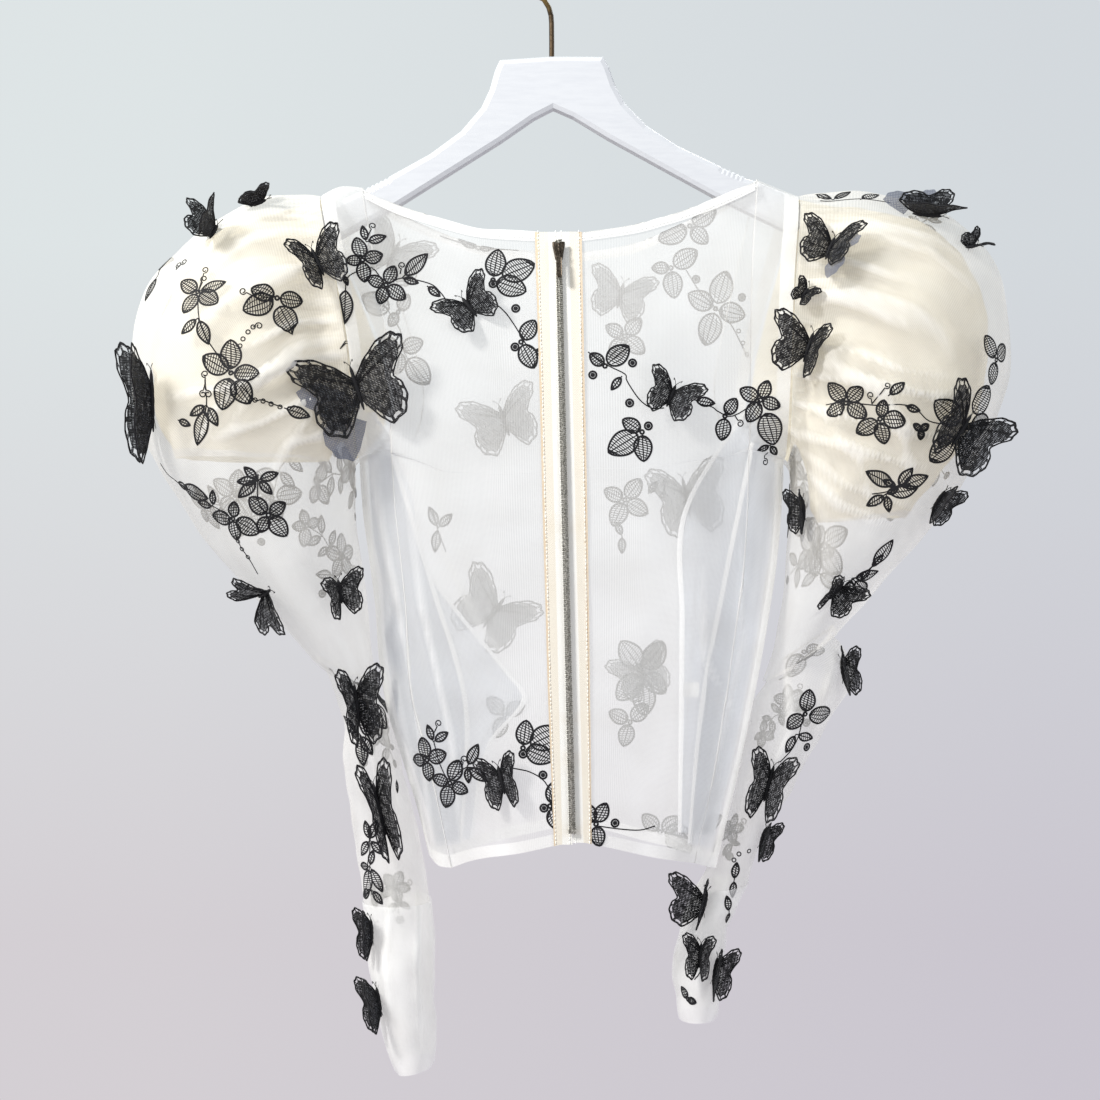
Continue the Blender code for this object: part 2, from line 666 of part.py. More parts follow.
def panel_point(face, middle_x, tops, share, c, edge, part, r):
    if c == 0:
        return edge.copy()
    top = tops[c][1] if c < len(tops) else neck_drop(face, middle_x(0.03))
    guess = edge.x + (middle_x(0.25) - edge.x) * share
    low = hem_drop(guess)
    drop = top + (low - top) * part
    inner = middle_x(drop)
    x = edge.x + (inner - edge.x) * share
    if r == 0 and c < len(tops):
        x = tops[c][0]
    if r == 0 and c <= 2:
        return at_drop(x, face * SEAM_Y, drop)
    depth = panel_depth(face, share, abs(edge.y), x, drop)
    return at_drop(x, face * depth, drop)


def build_body(made):
    left = panel_grid(-1, -1, lambda drop: zip_x(drop) - ZIP_EDGE)
    right = panel_grid(1, -1, lambda drop: zip_x(drop) + ZIP_EDGE)
    made["back_left"] = cloth("back_left", left, False, flat_cores(left))
    made["back_right"] = cloth("back_right", right, False, flat_cores(right))
    front_left = panel_grid(-1, 1, zip_x)
    front_right = panel_grid(1, 1, zip_x)
    front = [a + list(reversed(b[:-1])) for a, b in zip(front_left, front_right)]
    made["front"] = cloth("front", front, False, flat_cores(front))
    return {"back_left": left, "back_right": right, "front": front}


def build_bindings(made, grids):
    """Neck bindings: the panels' top rows moved out."""
    ends = {"back_left": 3, "back_right": 3, "front": 3}
    for name, first in ends.items():
        width = len(grids[name][0])
        moved = out_points(made[name], width, WALL + GAP)
        if name == "front":
            rows = [row[first:width - first] for row in moved[:3]]
        else:
            rows = [row[first:-1] for row in moved[:3]]
            for row in rows:
                row[-1] = row[-1] + (row[-2] - row[-1]).normalized() * GAP
        title = "binding_" + name
        made[title] = cloth(title, rows, False, flat_cores(rows))


def build_zip(made, grids):
    """Zip tapes on the back panels, the tooth strip, the slider and pull."""
    centre = []
    for name, side in (("back_left", -1), ("back_right", 1)):
        width = len(grids[name][0])
        moved = out_points(made[name], width, WALL + GAP)
        rows = [tape_row(row, side) for row in moved]
        title = "zip_tape_" + ("left" if side < 0 else "right")
        made[title] = cloth(title, rows, False, flat_cores(rows), TAPE)
        centre.append([row[-1] for row in rows])
    middle = [(a + b) / 2 for a, b in zip(*centre)]
    lift = Vector((0.0, -(TAPE + GAP), 0.0))
    low = middle[-1] + (middle[-2] - middle[-1]).normalized() * CHAIN_BELOW
    path = [point + lift for point in middle[2:-1]] + [low + lift]
    across = Vector((CHAIN_HALF, 0.0, 0.0))
    rows = [[point - across, point + across] for point in path]
    made["zip_chain"] = cloth("zip_chain", rows, False, flat_cores(rows), CHAIN_THICK)
    build_slider(made, path)


def tape_row(row, side):
    outer = row[-2]
    inner = row[-1]
    centre = Vector((zip_x(SHOULDER_Z - inner.z) + side * SEAM_Y, inner.y, inner.z))
    return [outer, inner, centre]


def build_slider(made, path):
    start = path[0]
    along = (path[1] - path[0]).normalized()
    out = Vector((0.0, along.z, -along.y)).normalized()
    across = along.cross(out)
    middle = start + along * SLIDER_DROP + out * (CHAIN_THICK + 0.4 * MM)
    placing = Matrix.Translation(middle) @ Matrix((
        (across.x, along.x, out.x, 0.0),
        (across.y, along.y, out.y, 0.0),
        (across.z, along.z, out.z, 0.0),
        (0.0, 0.0, 0.0, 1.0),
    ))
    base = block("zip_slider", SLIDER, (0.0, 0.0, SLIDER[2] / 2))
    lug_up = SLIDER[2] - 0.3 * MM + LUG[2] / 2
    lug_a = block("lug_a", LUG, (-LUG_OUT, HINGE_ALONG, lug_up))
    lug_b = block("lug_b", LUG, (LUG_OUT, HINGE_ALONG, lug_up))
    join(base, [lug_a, lug_b])
    place(base, placing)
    hinge = Vector((0.0, HINGE_ALONG, HINGE_UP))
    pull = block("zip_pull", PULL, (0.0, PULL_ALONG, HINGE_UP))
    neck = block("neck", PULL_NECK, (0.0, PULL_NECK_ALONG, HINGE_UP))
    barrel = rod("barrel", BARREL_RADIUS, BARREL_LENGTH, hinge)
    join(pull, [neck, barrel])
    place(pull, Matrix.Translation(-hinge))
    pull.matrix_world = placing @ Matrix.Translation(hinge)
    made["zip_slider"] = base
    made["zip_pull"] = pull


def block(name, size, middle):
    mesh = bpy.data.meshes.new(name)
    work = bmesh.new()
    bmesh.ops.create_cube(work, size=1.0)
    bmesh.ops.scale(work, vec=size, verts=work.verts)
    bmesh.ops.translate(work, vec=middle, verts=work.verts)
    work.to_mesh(mesh)
    work.free()
    return link(name, mesh)


def rod(name, radius, length, middle):
    mesh = bpy.data.meshes.new(name)
    work = bmesh.new()
    bmesh.ops.create_cone(
        work, cap_ends=True, segments=12, radius1=radius, radius2=radius, depth=length,
        matrix=Matrix.Translation(middle) @ Matrix.Rotation(math.pi / 2, 4, "Y"),
    )
    work.to_mesh(mesh)
    work.free()
    return link(name, mesh)


def join(base, others):
    """Union of overlapping solids, kept on the base object."""
    for i, other in enumerate(others):
        step = base.modifiers.new("join%d" % i, "BOOLEAN")
        step.operation = "UNION"
        step.solver = "EXACT"
        step.object = other
    settle(base)
    for other in others:
        bpy.data.objects.remove(other, do_unlink=True)


def settle(item):
    """Keep the shape the modifiers give and drop the modifiers."""
    graph = bpy.context.evaluated_depsgraph_get()
    mesh = bpy.data.meshes.new_from_object(item.evaluated_get(graph))
    item.modifiers.clear()
    item.data = mesh


def place(item, placing):
    item.data.transform(placing)
    item.data.update()


# Sleeves.

def crease_lift(side, ring, turn):
    wanted = "left" if side < 0 else "right"
    lift = 0.0
    for crease in CREASES:
        if crease.side != wanted or not crease.start < ring < crease.end:
            continue
        part = (ring - crease.start) / (crease.end - crease.start)
        middle = crease.turn + crease.drift * part
        away = (turn - middle + 180) % 360 - 180
        lift += crease.depth * math.sin(math.pi * part) ** 0.7 * math.exp(-((away / crease.width) ** 2))
    if ring < GATHER_END:
        fade = math.sin(math.pi * ring / GATHER_END)
        lift += GATHER_DEPTH * fade * math.cos(math.radians(GATHERS * turn))
    return lift


def ring_point(side, ring, turn, lift):
    """Point of a sleeve ring: turn 0 top, 90 at the back, 180 underside."""
    angle = math.radians(turn)
    top = Vector((ring.top_x, 0.0, SHOULDER_Z - ring.top_drop))
    low = Vector((ring.low_x, 0.0, SHOULDER_Z - ring.low_drop))
    middle = (top + low) / 2
    reach = (top - low) / 2
    grow = 1 + lift / max(reach.length, ring.depth)
    point = middle + reach * (math.cos(angle) * grow)
    point.y = ring.y - ring.depth * math.sin(angle) * grow
    return point


def arm_loop_point(side, turn):
    """Point just outside the body's armhole edge, which runs row to row."""
    face = -1 if turn <= 180 else 1
    turn = min(turn, 360 - turn)
    i = min(bisect_right(ARM_TURNS, turn) - 1, len(ARM_TURNS) - 2)
    low = armhole(side, face, ARM_TURNS[i])
    high = armhole(side, face, ARM_TURNS[i + 1])
    part = (turn - ARM_TURNS[i]) / (ARM_TURNS[i + 1] - ARM_TURNS[i])
    gap = ARM_GAP + UNDERARM_GAP * math.sin(math.radians(turn / 2)) ** 6
    return low.lerp(high, part) + Vector((side * gap, 0.0, 0.0))


def sleeve_grid(side, rings, around, first, last, from_arm):
    grid = []
    turns = [360.0 * i / around for i in range(around)]
    if from_arm:
        grid.append([arm_loop_point(side, turn) for turn in turns])
    for i in range(first, last + 1):
        lifts = [crease_lift(side, i + 1.0, turn) for turn in turns]
        grid.append([ring_point(side, rings[i], t, lift) for t, lift in zip(turns, lifts)])
    return grid


def tucked(first, above):
    """Two rings in place of the first, drawn in to lie inside the puff."""
    core = sum(first, Vector()) / len(first)
    back_row = []
    rim_row = []
    for point, upper in zip(first, above):
        back = (upper - point).normalized()
        inward = core - point
        inward = (inward - back * inward.dot(back)).normalized() * TUCK_IN
        back_row.append(point + inward + back * TUCK_BACK)
        rim_row.append(point + inward - back * TUCK_FORWARD)
    return [back_row, rim_row]


def inside_armhole(side, loop):
    """The lining's first ring, just inside the puff's at the armhole seam."""
    core = sum(loop, Vector()) / len(loop)
    out = Vector((side * LINING_OUT, 0.0, 0.0))
    return [point + (core - point).normalized() * LINING_IN + out for point in loop]


def build_sleeve(made, side, rings, split, lining):
    tag = "left" if side < 0 else "right"
    puff = sleeve_grid(side, rings, PUFF_AROUND, 0, split, True)
    name = "sleeve_puff_" + tag
    made[name] = cloth(name, puff, True, ring_cores(puff))
    lower = sleeve_grid(side, rings, LOWER_AROUND, split, len(rings) - 1, False)
    above = sleeve_grid(side, rings, LOWER_AROUND, split - 1, split - 1, False)[0]
    lower[0:1] = tucked(lower[0], above)
    name = "sleeve_lower_" + tag
    made[name] = cloth(name, lower, True, ring_cores(lower))
    cuff = out_points(made[name], LOWER_AROUND, WALL + GAP)[-4:]
    made["cuff_" + tag] = cloth("cuff_" + tag, cuff, True, ring_cores(cuff))
    inner = sleeve_grid(side, lining, LINING_AROUND, 0, len(lining) - 1, True)
    inner[0] = inside_armhole(side, inner[0])
    name = "sleeve_lining_" + tag
    made[name] = cloth(name, inner, True, ring_cores(inner))


# Raised lace butterflies, each two wings on one hinge line.

def spot(tree, x, drop, far):
    """Place and outward normal of a sheet where the eye meets it."""
    aim = (at_drop(x, 0.0, drop) - EYE).normalized()
    start, way = (EYE + aim * 3.0, -aim) if far else (EYE, aim)
    found = tree.ray_cast(start, way)
    if found[0] is None:
        found = tree.find_nearest(at_drop(x, 0.0, drop))
    return found[:2]


def wing_frame(normal, turn):
    """Axis along the body and axis across it, in the sheet's plane."""
    up = Vector((math.sin(math.radians(turn)), 0.0, math.cos(math.radians(turn))))
    along = (up - normal * up.dot(normal)).normalized()
    return along, along.cross(normal).normalized()


def wing_points(root, moth, axes, along):
    """Both wing outlines; the second leaves out the two shared hinge points."""
    points = []
    for i, (reach, length) in enumerate(axes):
        outline = WING if i == 0 else WING[1:-1]
        for wing in outline:
            points.append(root + reach * (wing.out * length) + along * (wing.along * moth.chord / 2))
    return points


def lifted(side, lift, normal, across):
    """Direction of a wing raised from the cloth by an angle in degrees."""
    angle = math.radians(lift)
    return across * (side * math.cos(angle)) + normal * math.sin(angle)


def wing_axis(moth, root, along, across, normal, wing, trees):
    """Direction and length of one wing, raised until it clears the cloth."""
    side, length, lift = wing
    outline = tuple(range(len(WING)))
    reach = across
    for angle in range(lift, 90, 4):
        reach = lifted(side, angle, normal, across)
        points = []
        for start in (root - normal * (MOTH_THICK * 0.8), root):
            points = wing_points(start, moth, [(reach, length)], along)
            tree = BVHTree.FromPolygons(points, [outline])
            if any(tree.overlap(other) for other in trees):
                break
        else:
            break
    return reach, length


def build_moth(made, trees, moth):
    place_at, normal = spot(trees[moth.cloth], moth.x, moth.drop, moth.far)
    along, across = wing_frame(normal, moth.turn)
    root = place_at + normal * (GAP + MOTH_THICK)
    wings = ((1, moth.long_a, moth.lift_a), (-1, moth.long_b, moth.lift_b))
    frame = (root, along, across, normal)
    axes = [wing_axis(moth, *frame, wing, trees.values()) for wing in wings]
    count = len(WING)
    first = tuple(range(count))
    second = (0,) + tuple(range(count, 2 * count - 2)) + (count - 1,)
    points = wing_points(root, moth, axes, along)
    mesh = bpy.data.meshes.new(moth.name)
    mesh.from_pydata([tuple(p) for p in points], [], [first, tuple(reversed(second))])
    mesh.update()
    item = link(moth.name, mesh)
    wall = item.modifiers.new("wall", "SOLIDIFY")
    wall.thickness = MOTH_THICK
    wall.offset = 0.0
    cut_holes(item, moth, root, along, axes)
    made[moth.name] = item


def cut_holes(item, moth, root, along, axes):
    cutters = []
    for hole in HOLES:
        if hole.moth != moth.name:
            continue
        reach, length = axes[hole.wing]
        middle = root + reach * (hole.out * length) + along * (hole.along * moth.chord / 2)
        turn = reach.cross(along).to_track_quat("Z", "Y").to_matrix().to_4x4()
        cutters.append(rod_between("cutter", hole.radius, middle, turn))
    if not cutters:
        return
    for cutter in cutters:
        step = item.modifiers.new("hole", "BOOLEAN")
        step.operation = "DIFFERENCE"
        step.solver = "EXACT"
        step.object = cutter
    settle(item)
    for cutter in cutters:
        bpy.data.objects.remove(cutter, do_unlink=True)


def rod_between(name, radius, middle, turn):
    mesh = bpy.data.meshes.new(name)
    work = bmesh.new()
    bmesh.ops.create_cone(
        work, cap_ends=True, segments=8, radius1=radius, radius2=radius, depth=0.006,
        matrix=Matrix.Translation(middle) @ turn,
    )
    work.to_mesh(mesh)
    work.free()
    return link(name, mesh)


def build_tag(made):
    """Bare size tag inside the right back panel."""
    tree = BVHTree.FromObject(made["back_right"], bpy.context.evaluated_depsgraph_get())
    aim = (at_drop(TAG_X, 0.0, TAG_DROP) - EYE).normalized()
    point, normal = tree.ray_cast(EYE + aim * 3.0, -aim)[:2]
    middle = point + normal * (GAP + 0.6 * MM)
    turn = normal.to_track_quat("Z", "Y").to_matrix().to_4x4()
    tag = block("size_tag", TAG, (0.0, 0.0, 0.0))
    place(tag, Matrix.Translation(middle) @ turn)
    made["size_tag"] = tag


# Materials and the collection of the finished parts.

def finish(made):
    """Give each part its material and move it to the blouse's collection."""
    group = bpy.data.collections.new("puff_sleeve_blouse")
    bpy.context.scene.collection.children.link(group)
    for name, item in made.items():
        choice = next(f for f in FINISHES if name.startswith(f.start))
        item.data.materials.clear()
        item.data.materials.append(material_for(choice))
        for old in list(item.users_collection):
            old.objects.unlink(item)
        group.objects.link(item)


def material_for(choice):
    found = bpy.data.materials.get(choice.name)
    if found:
        return found
    made = bpy.data.materials.new(choice.name)
    made.use_nodes = True
    shader = made.node_tree.nodes["Principled BSDF"]
    shader.inputs["Base Color"].default_value = (*choice.colour, 1.0)
    shader.inputs["Roughness"].default_value = choice.roughness
    shader.inputs["Metallic"].default_value = choice.metallic
    return made


def main():
    clear_scene()
    made = {}
    made["hanger"] = build_hanger()
    made["hook"] = build_hook()
    grids = build_body(made)
    build_bindings(made, grids)
    build_zip(made, grids)
    build_sleeve(made, -1, LEFT_RINGS, LEFT_SPLIT, LEFT_LINING)
    build_sleeve(made, 1, RIGHT_RINGS, RIGHT_SPLIT, RIGHT_LINING)
    build_tag(made)
    graph = bpy.context.evaluated_depsgraph_get()
    trees = {name: BVHTree.FromObject(item, graph) for name, item in made.items()}
    for moth in MOTHS:
        build_moth(made, trees, moth)
    finish(made)


main()
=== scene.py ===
"""Looks of the sheer puff sleeve blouse: organza, lace, embroidery, zip and hanger.

Metres, in the frame's own axes.  The back of the blouse, with its zip, faces -Y.
Heights on the cloth are given as a drop below the shoulder line.
"""

import math
from bisect import bisect_right
from collections import namedtuple

import bpy
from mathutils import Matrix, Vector, noise
from mathutils.bvhtree import BVHTree


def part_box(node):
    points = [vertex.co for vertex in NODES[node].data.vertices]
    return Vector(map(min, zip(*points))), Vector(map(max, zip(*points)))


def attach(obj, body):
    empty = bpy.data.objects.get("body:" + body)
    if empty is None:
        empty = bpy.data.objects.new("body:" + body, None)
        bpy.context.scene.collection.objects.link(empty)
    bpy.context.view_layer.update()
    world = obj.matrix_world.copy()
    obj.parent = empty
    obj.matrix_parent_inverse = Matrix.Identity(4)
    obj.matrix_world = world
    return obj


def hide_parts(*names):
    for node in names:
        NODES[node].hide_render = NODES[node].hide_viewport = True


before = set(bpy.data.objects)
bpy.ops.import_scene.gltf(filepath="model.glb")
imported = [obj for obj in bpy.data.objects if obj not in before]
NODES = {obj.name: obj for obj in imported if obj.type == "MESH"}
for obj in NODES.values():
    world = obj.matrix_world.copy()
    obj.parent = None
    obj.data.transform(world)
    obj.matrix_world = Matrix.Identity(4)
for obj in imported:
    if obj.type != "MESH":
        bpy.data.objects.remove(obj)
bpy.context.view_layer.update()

MM = 0.001
WALL = 1.2 * MM
TAPE = 1.0 * MM
GAP = 0.3 * MM
SEAM_Y = 0.15 * MM
SHOULDER_Z = -0.1934
EYE = Vector((-0.0008, -1.6, -0.4688))
PHOTO_MIDDLE = 550
PHOTO_PIXEL = 0.78 * MM
PHOTO_WIDTH = 0.858
FAR_START = 3.0
HANGER_CLEAR = 0.0071
SEAM_REST = 0.7 * MM

ARM_DROP_LEFT = 0.2075
ARM_DROP_RIGHT = 0.2090
ARM_DEPTH_BACK = 0.042
ARM_DEPTH_FRONT = 0.046
ARM_GAP = 1.2 * MM
UNDERARM_GAP = 2.0 * MM
LINING_IN = 2.6 * MM
LINING_OUT = 0.4 * MM
TUCK_IN = 3.0 * MM
TUCK_BACK = 4.0 * MM
TUCK_FORWARD = 4.0 * MM
ZIP_EDGE = 0.0085
CHAIN_THICK = 0.0022
MOTH_THICK = 1.0 * MM

# Shape of the body: the same named sections as the solids.

Body = namedtuple("Body", "drop left right back front zip")
BODY = [
    Body(-0.014, -0.1786, 0.1919, 0.0080, 0.0080, 0.0045),
    Body(0.000, -0.1786, 0.1919, 0.0105, 0.0105, 0.0050),
    Body(0.030, -0.1722, 0.1889, 0.0210, 0.0200, 0.0055),
    Body(0.065, -0.1646, 0.1852, 0.0310, 0.0340, 0.0062),
    Body(0.112, -0.1552, 0.1832, 0.0400, 0.0480, 0.0072),
    Body(0.156, -0.1513, 0.1820, 0.0445, 0.0560, 0.0082),
    Body(0.208, -0.1490, 0.1810, 0.0480, 0.0600, 0.0094),
    Body(0.268, -0.1443, 0.1778, 0.0500, 0.0590, 0.0108),
    Body(0.301, -0.1380, 0.1735, 0.0505, 0.0570, 0.0116),
    Body(0.352, -0.1350, 0.1655, 0.0510, 0.0540, 0.0128),
    Body(0.413, -0.1248, 0.1535, 0.0515, 0.0520, 0.0143),
    Body(0.437, -0.1162, 0.1488, 0.0515, 0.0515, 0.0149),
    Body(0.486, -0.1014, 0.1370, 0.0515, 0.0510, 0.0161),
    Body(0.530, -0.0910, 0.1270, 0.0510, 0.0505, 0.0170),
]

FrontArm = namedtuple("FrontArm", "part inset")
FRONT_ARM = [
    FrontArm(0.00, 0.000),
    FrontArm(0.18, 0.004),
    FrontArm(0.38, 0.012),
    FrontArm(0.58, 0.021),
    FrontArm(0.78, 0.026),
    FrontArm(0.92, 0.016),
    FrontArm(1.00, 0.000),
]

Neck = namedtuple("Neck", "x back front")
NECK = [
    Neck(-0.1455, -0.0040, -0.0040),
    Neck(-0.1190, 0.0086, 0.0120),
    Neck(-0.0554, 0.0280, 0.0350),
    Neck(0.0050, 0.0315, 0.0410),
    Neck(0.0538, 0.0273, 0.0370),
    Neck(0.1162, 0.0086, 0.0130),
    Neck(0.1590, -0.0105, -0.0105),
]

Seam = namedtuple("Seam", "x drop")
SHOULDER_LEFT = [
    Seam(-0.1786, 0.0000),
    Seam(-0.1640, -0.0070),
    Seam(-0.1470, -0.0062),
]
SHOULDER_RIGHT = [
    Seam(0.1605, -0.0120),
    Seam(0.1760, -0.0060),
    Seam(0.1919, 0.0000),
]

Hem = namedtuple("Hem", "x drop")
HEM = [
    Hem(-0.0944, 0.5125),
    Hem(-0.0830, 0.5200),
    Hem(-0.0593, 0.5115),
    Hem(-0.0240, 0.5040),
    Hem(0.0110, 0.4960),
    Hem(0.0265, 0.4976),
    Hem(0.0694, 0.5078),
    Hem(0.1084, 0.5156),
    Hem(0.1279, 0.5234),
]

BodyFold = namedtuple("BodyFold", "face x_top drop_top x_low drop_low width depth")
BODY_FOLDS = [
    BodyFold("back", -0.058, 0.385, -0.056, 0.520, 0.012, -0.0050),
    BodyFold("back", -0.108, 0.300, -0.086, 0.520, 0.009, 0.0035),
    BodyFold("back", 0.105, 0.330, 0.098, 0.520, 0.014, 0.0040),
    BodyFold("back", 0.060, 0.400, 0.062, 0.520, 0.013, -0.0030),
    BodyFold("front", -0.110, 0.200, -0.030, 0.400, 0.016, 0.0040),
    BodyFold("front", 0.120, 0.190, 0.100, 0.480, 0.016, 0.0040),
]

Ring = namedtuple("Ring", "top_x top_drop low_x low_drop y depth")
LEFT_RINGS = [
    Ring(-0.196, 0.001, -0.1545, 0.211, 0.004, 0.050),
    Ring(-0.226, 0.002, -0.1540, 0.221, 0.004, 0.062),
    Ring(-0.257, 0.017, -0.1530, 0.240, 0.004, 0.071),
    Ring(-0.290, 0.042, -0.1515, 0.260, 0.005, 0.077),
    Ring(-0.317, 0.073, -0.1490, 0.280, 0.006, 0.080),
    Ring(-0.327, 0.119, -0.1460, 0.303, 0.008, 0.080),
    Ring(-0.324, 0.170, -0.1445, 0.322, 0.010, 0.077),
    Ring(-0.307, 0.209, -0.1435, 0.340, 0.012, 0.071),
    Ring(-0.272, 0.264, -0.1415, 0.358, 0.015, 0.059),
    Ring(-0.225, 0.319, -0.1390, 0.373, 0.019, 0.048),
    Ring(-0.184, 0.364, -0.1350, 0.389, 0.022, 0.040),
    Ring(-0.165, 0.404, -0.1280, 0.410, 0.025, 0.035),
    Ring(-0.163, 0.450, -0.1190, 0.450, 0.027, 0.033),
    Ring(-0.155, 0.506, -0.1050, 0.506, 0.029, 0.033),
    Ring(-0.148, 0.553, -0.0970, 0.553, 0.029, 0.035),
    Ring(-0.144, 0.593, -0.0945, 0.593, 0.028, 0.037),
    Ring(-0.136, 0.640, -0.0940, 0.640, 0.027, 0.036),
    Ring(-0.122, 0.686, -0.0940, 0.680, 0.026, 0.032),
]
LEFT_SPLIT = 10
RIGHT_RINGS = [
    Ring(0.212, -0.001, 0.1870, 0.213, 0.004, 0.050),
    Ring(0.243, -0.003, 0.1875, 0.224, 0.004, 0.062),
    Ring(0.277, 0.003, 0.1875, 0.243, 0.004, 0.071),
    Ring(0.312, 0.016, 0.1870, 0.264, 0.005, 0.077),
    Ring(0.342, 0.045, 0.1855, 0.283, 0.006, 0.080),
    Ring(0.356, 0.091, 0.1840, 0.303, 0.008, 0.080),
    Ring(0.357, 0.138, 0.1825, 0.319, 0.010, 0.078),
    Ring(0.342, 0.185, 0.1805, 0.332, 0.013, 0.073),
    Ring(0.316, 0.232, 0.1785, 0.345, 0.017, 0.065),
    Ring(0.280, 0.277, 0.1760, 0.357, 0.022, 0.056),
    Ring(0.248, 0.315, 0.1725, 0.369, 0.027, 0.048),
    Ring(0.2255, 0.341, 0.1690, 0.380, 0.031, 0.042),
    Ring(0.2405, 0.374, 0.1610, 0.400, 0.036, 0.040),
    Ring(0.216, 0.419, 0.1530, 0.437, 0.040, 0.037),
    Ring(0.193, 0.461, 0.1440, 0.475, 0.042, 0.035),
    Ring(0.173, 0.498, 0.1330, 0.512, 0.045, 0.034),
    Ring(0.156, 0.539, 0.1190, 0.547, 0.046, 0.034),
    Ring(0.141, 0.576, 0.1070, 0.576, 0.046, 0.034),
    Ring(0.135, 0.612, 0.1000, 0.612, 0.045, 0.034),
    Ring(0.131, 0.647, 0.1040, 0.649, 0.044, 0.030),
]
RIGHT_SPLIT = 11
LEFT_LINING = [
    Ring(-0.202, 0.010, -0.163, 0.190, 0.004, 0.044),
    Ring(-0.232, 0.012, -0.166, 0.193, 0.004, 0.055),
    Ring(-0.260, 0.027, -0.168, 0.195, 0.004, 0.063),
    Ring(-0.286, 0.053, -0.170, 0.197, 0.004, 0.068),
    Ring(-0.306, 0.086, -0.171, 0.199, 0.005, 0.069),
    Ring(-0.313, 0.127, -0.172, 0.201, 0.006, 0.067),
    Ring(-0.309, 0.168, -0.173, 0.203, 0.007, 0.063),
    Ring(-0.295, 0.204, -0.175, 0.206, 0.008, 0.056),
]
RIGHT_LINING = [
    Ring(0.218, 0.009, 0.191, 0.190, 0.004, 0.044),
    Ring(0.248, 0.009, 0.195, 0.202, 0.004, 0.055),
    Ring(0.280, 0.015, 0.198, 0.213, 0.004, 0.063),
    Ring(0.308, 0.031, 0.200, 0.223, 0.004, 0.068),
    Ring(0.330, 0.059, 0.201, 0.231, 0.005, 0.069),
    Ring(0.342, 0.098, 0.202, 0.238, 0.006, 0.068),
    Ring(0.341, 0.141, 0.202, 0.243, 0.008, 0.066),
    Ring(0.329, 0.181, 0.203, 0.247, 0.010, 0.060),
    Ring(0.305, 0.220, 0.205, 0.250, 0.013, 0.051),
    Ring(0.277, 0.250, 0.208, 0.254, 0.016, 0.043),
]

# Creases of the puffs, from the armhole outwards.  Width is in degrees of turn.

Crease = namedtuple("Crease", "side turn drift width depth start end")
CREASES = [
    Crease("right", 118, -22, 9, -0.0050, 0.2, 8.0),
    Crease("right", 92, -12, 8, -0.0045, 0.2, 6.5),
    Crease("right", 60, -14, 8, -0.0040, 0.2, 5.5),
    Crease("right", 138, -10, 9, 0.0045, 0.5, 9.0),
    Crease("right", 30, -6, 8, -0.0035, 0.2, 5.0),
    Crease("right", 250, 10, 10, -0.0045, 0.2, 6.0),
    Crease("right", 300, 8, 10, -0.0045, 0.2, 6.0),
    Crease("left", 112, -18, 9, -0.0050, 0.2, 6.5),
    Crease("left", 84, -10, 8, -0.0045, 0.2, 5.5),
    Crease("left", 52, -8, 8, -0.0040, 0.2, 5.0),
    Crease("left", 136, -12, 9, 0.0040, 0.5, 7.0),
    Crease("left", 250, 10, 10, -0.0045, 0.2, 6.0),
    Crease("left", 300, 8, 10, -0.0045, 0.2, 6.0),
]
FINE_CREASES = [
    Crease("right", 126, -16, 3.0, 0.0024, 0.3, 6.6),
    Crease("right", 106, -16, 3.2, 0.0026, 0.3, 7.4),
    Crease("right", 99, -8, 2.6, -0.0020, 0.4, 4.6),
    Crease("right", 80, -14, 2.8, 0.0024, 0.3, 5.6),
    Crease("right", 70, -6, 2.4, -0.0018, 0.3, 3.8),
    Crease("right", 48, -10, 2.8, 0.0022, 0.3, 4.8),
    Crease("right", 38, -4, 2.4, -0.0018, 0.3, 3.4),
    Crease("right", 148, -8, 3.0, -0.0022, 0.5, 7.0),
    Crease("right", 232, 12, 3.0, 0.0024, 0.3, 6.0),
    Crease("right", 268, 8, 2.8, -0.0022, 0.3, 5.0),
    Crease("right", 284, 10, 2.8, 0.0022, 0.3, 5.4),
    Crease("right", 318, 6, 2.6, 0.0020, 0.3, 4.4),
    Crease("left", 122, -14, 3.0, 0.0024, 0.3, 5.8),
    Crease("left", 100, -12, 2.8, 0.0024, 0.3, 5.4),
    Crease("left", 92, -6, 2.6, -0.0020, 0.4, 4.0),
    Crease("left", 68, -8, 2.6, 0.0022, 0.3, 4.6),
    Crease("left", 40, -4, 2.4, -0.0018, 0.3, 3.4),
    Crease("left", 232, 12, 3.0, 0.0024, 0.3, 5.6),
    Crease("left", 270, 8, 2.8, -0.0022, 0.3, 5.0),
    Crease("left", 318, 6, 2.6, 0.0020, 0.3, 4.4),
]
FINE_SCALE = 1.3

# Ridges seen in the photograph, as pixel places from the armhole or the top down.
# Wide is in pixels, high in millimetres.  Each is steep below and gentle above.

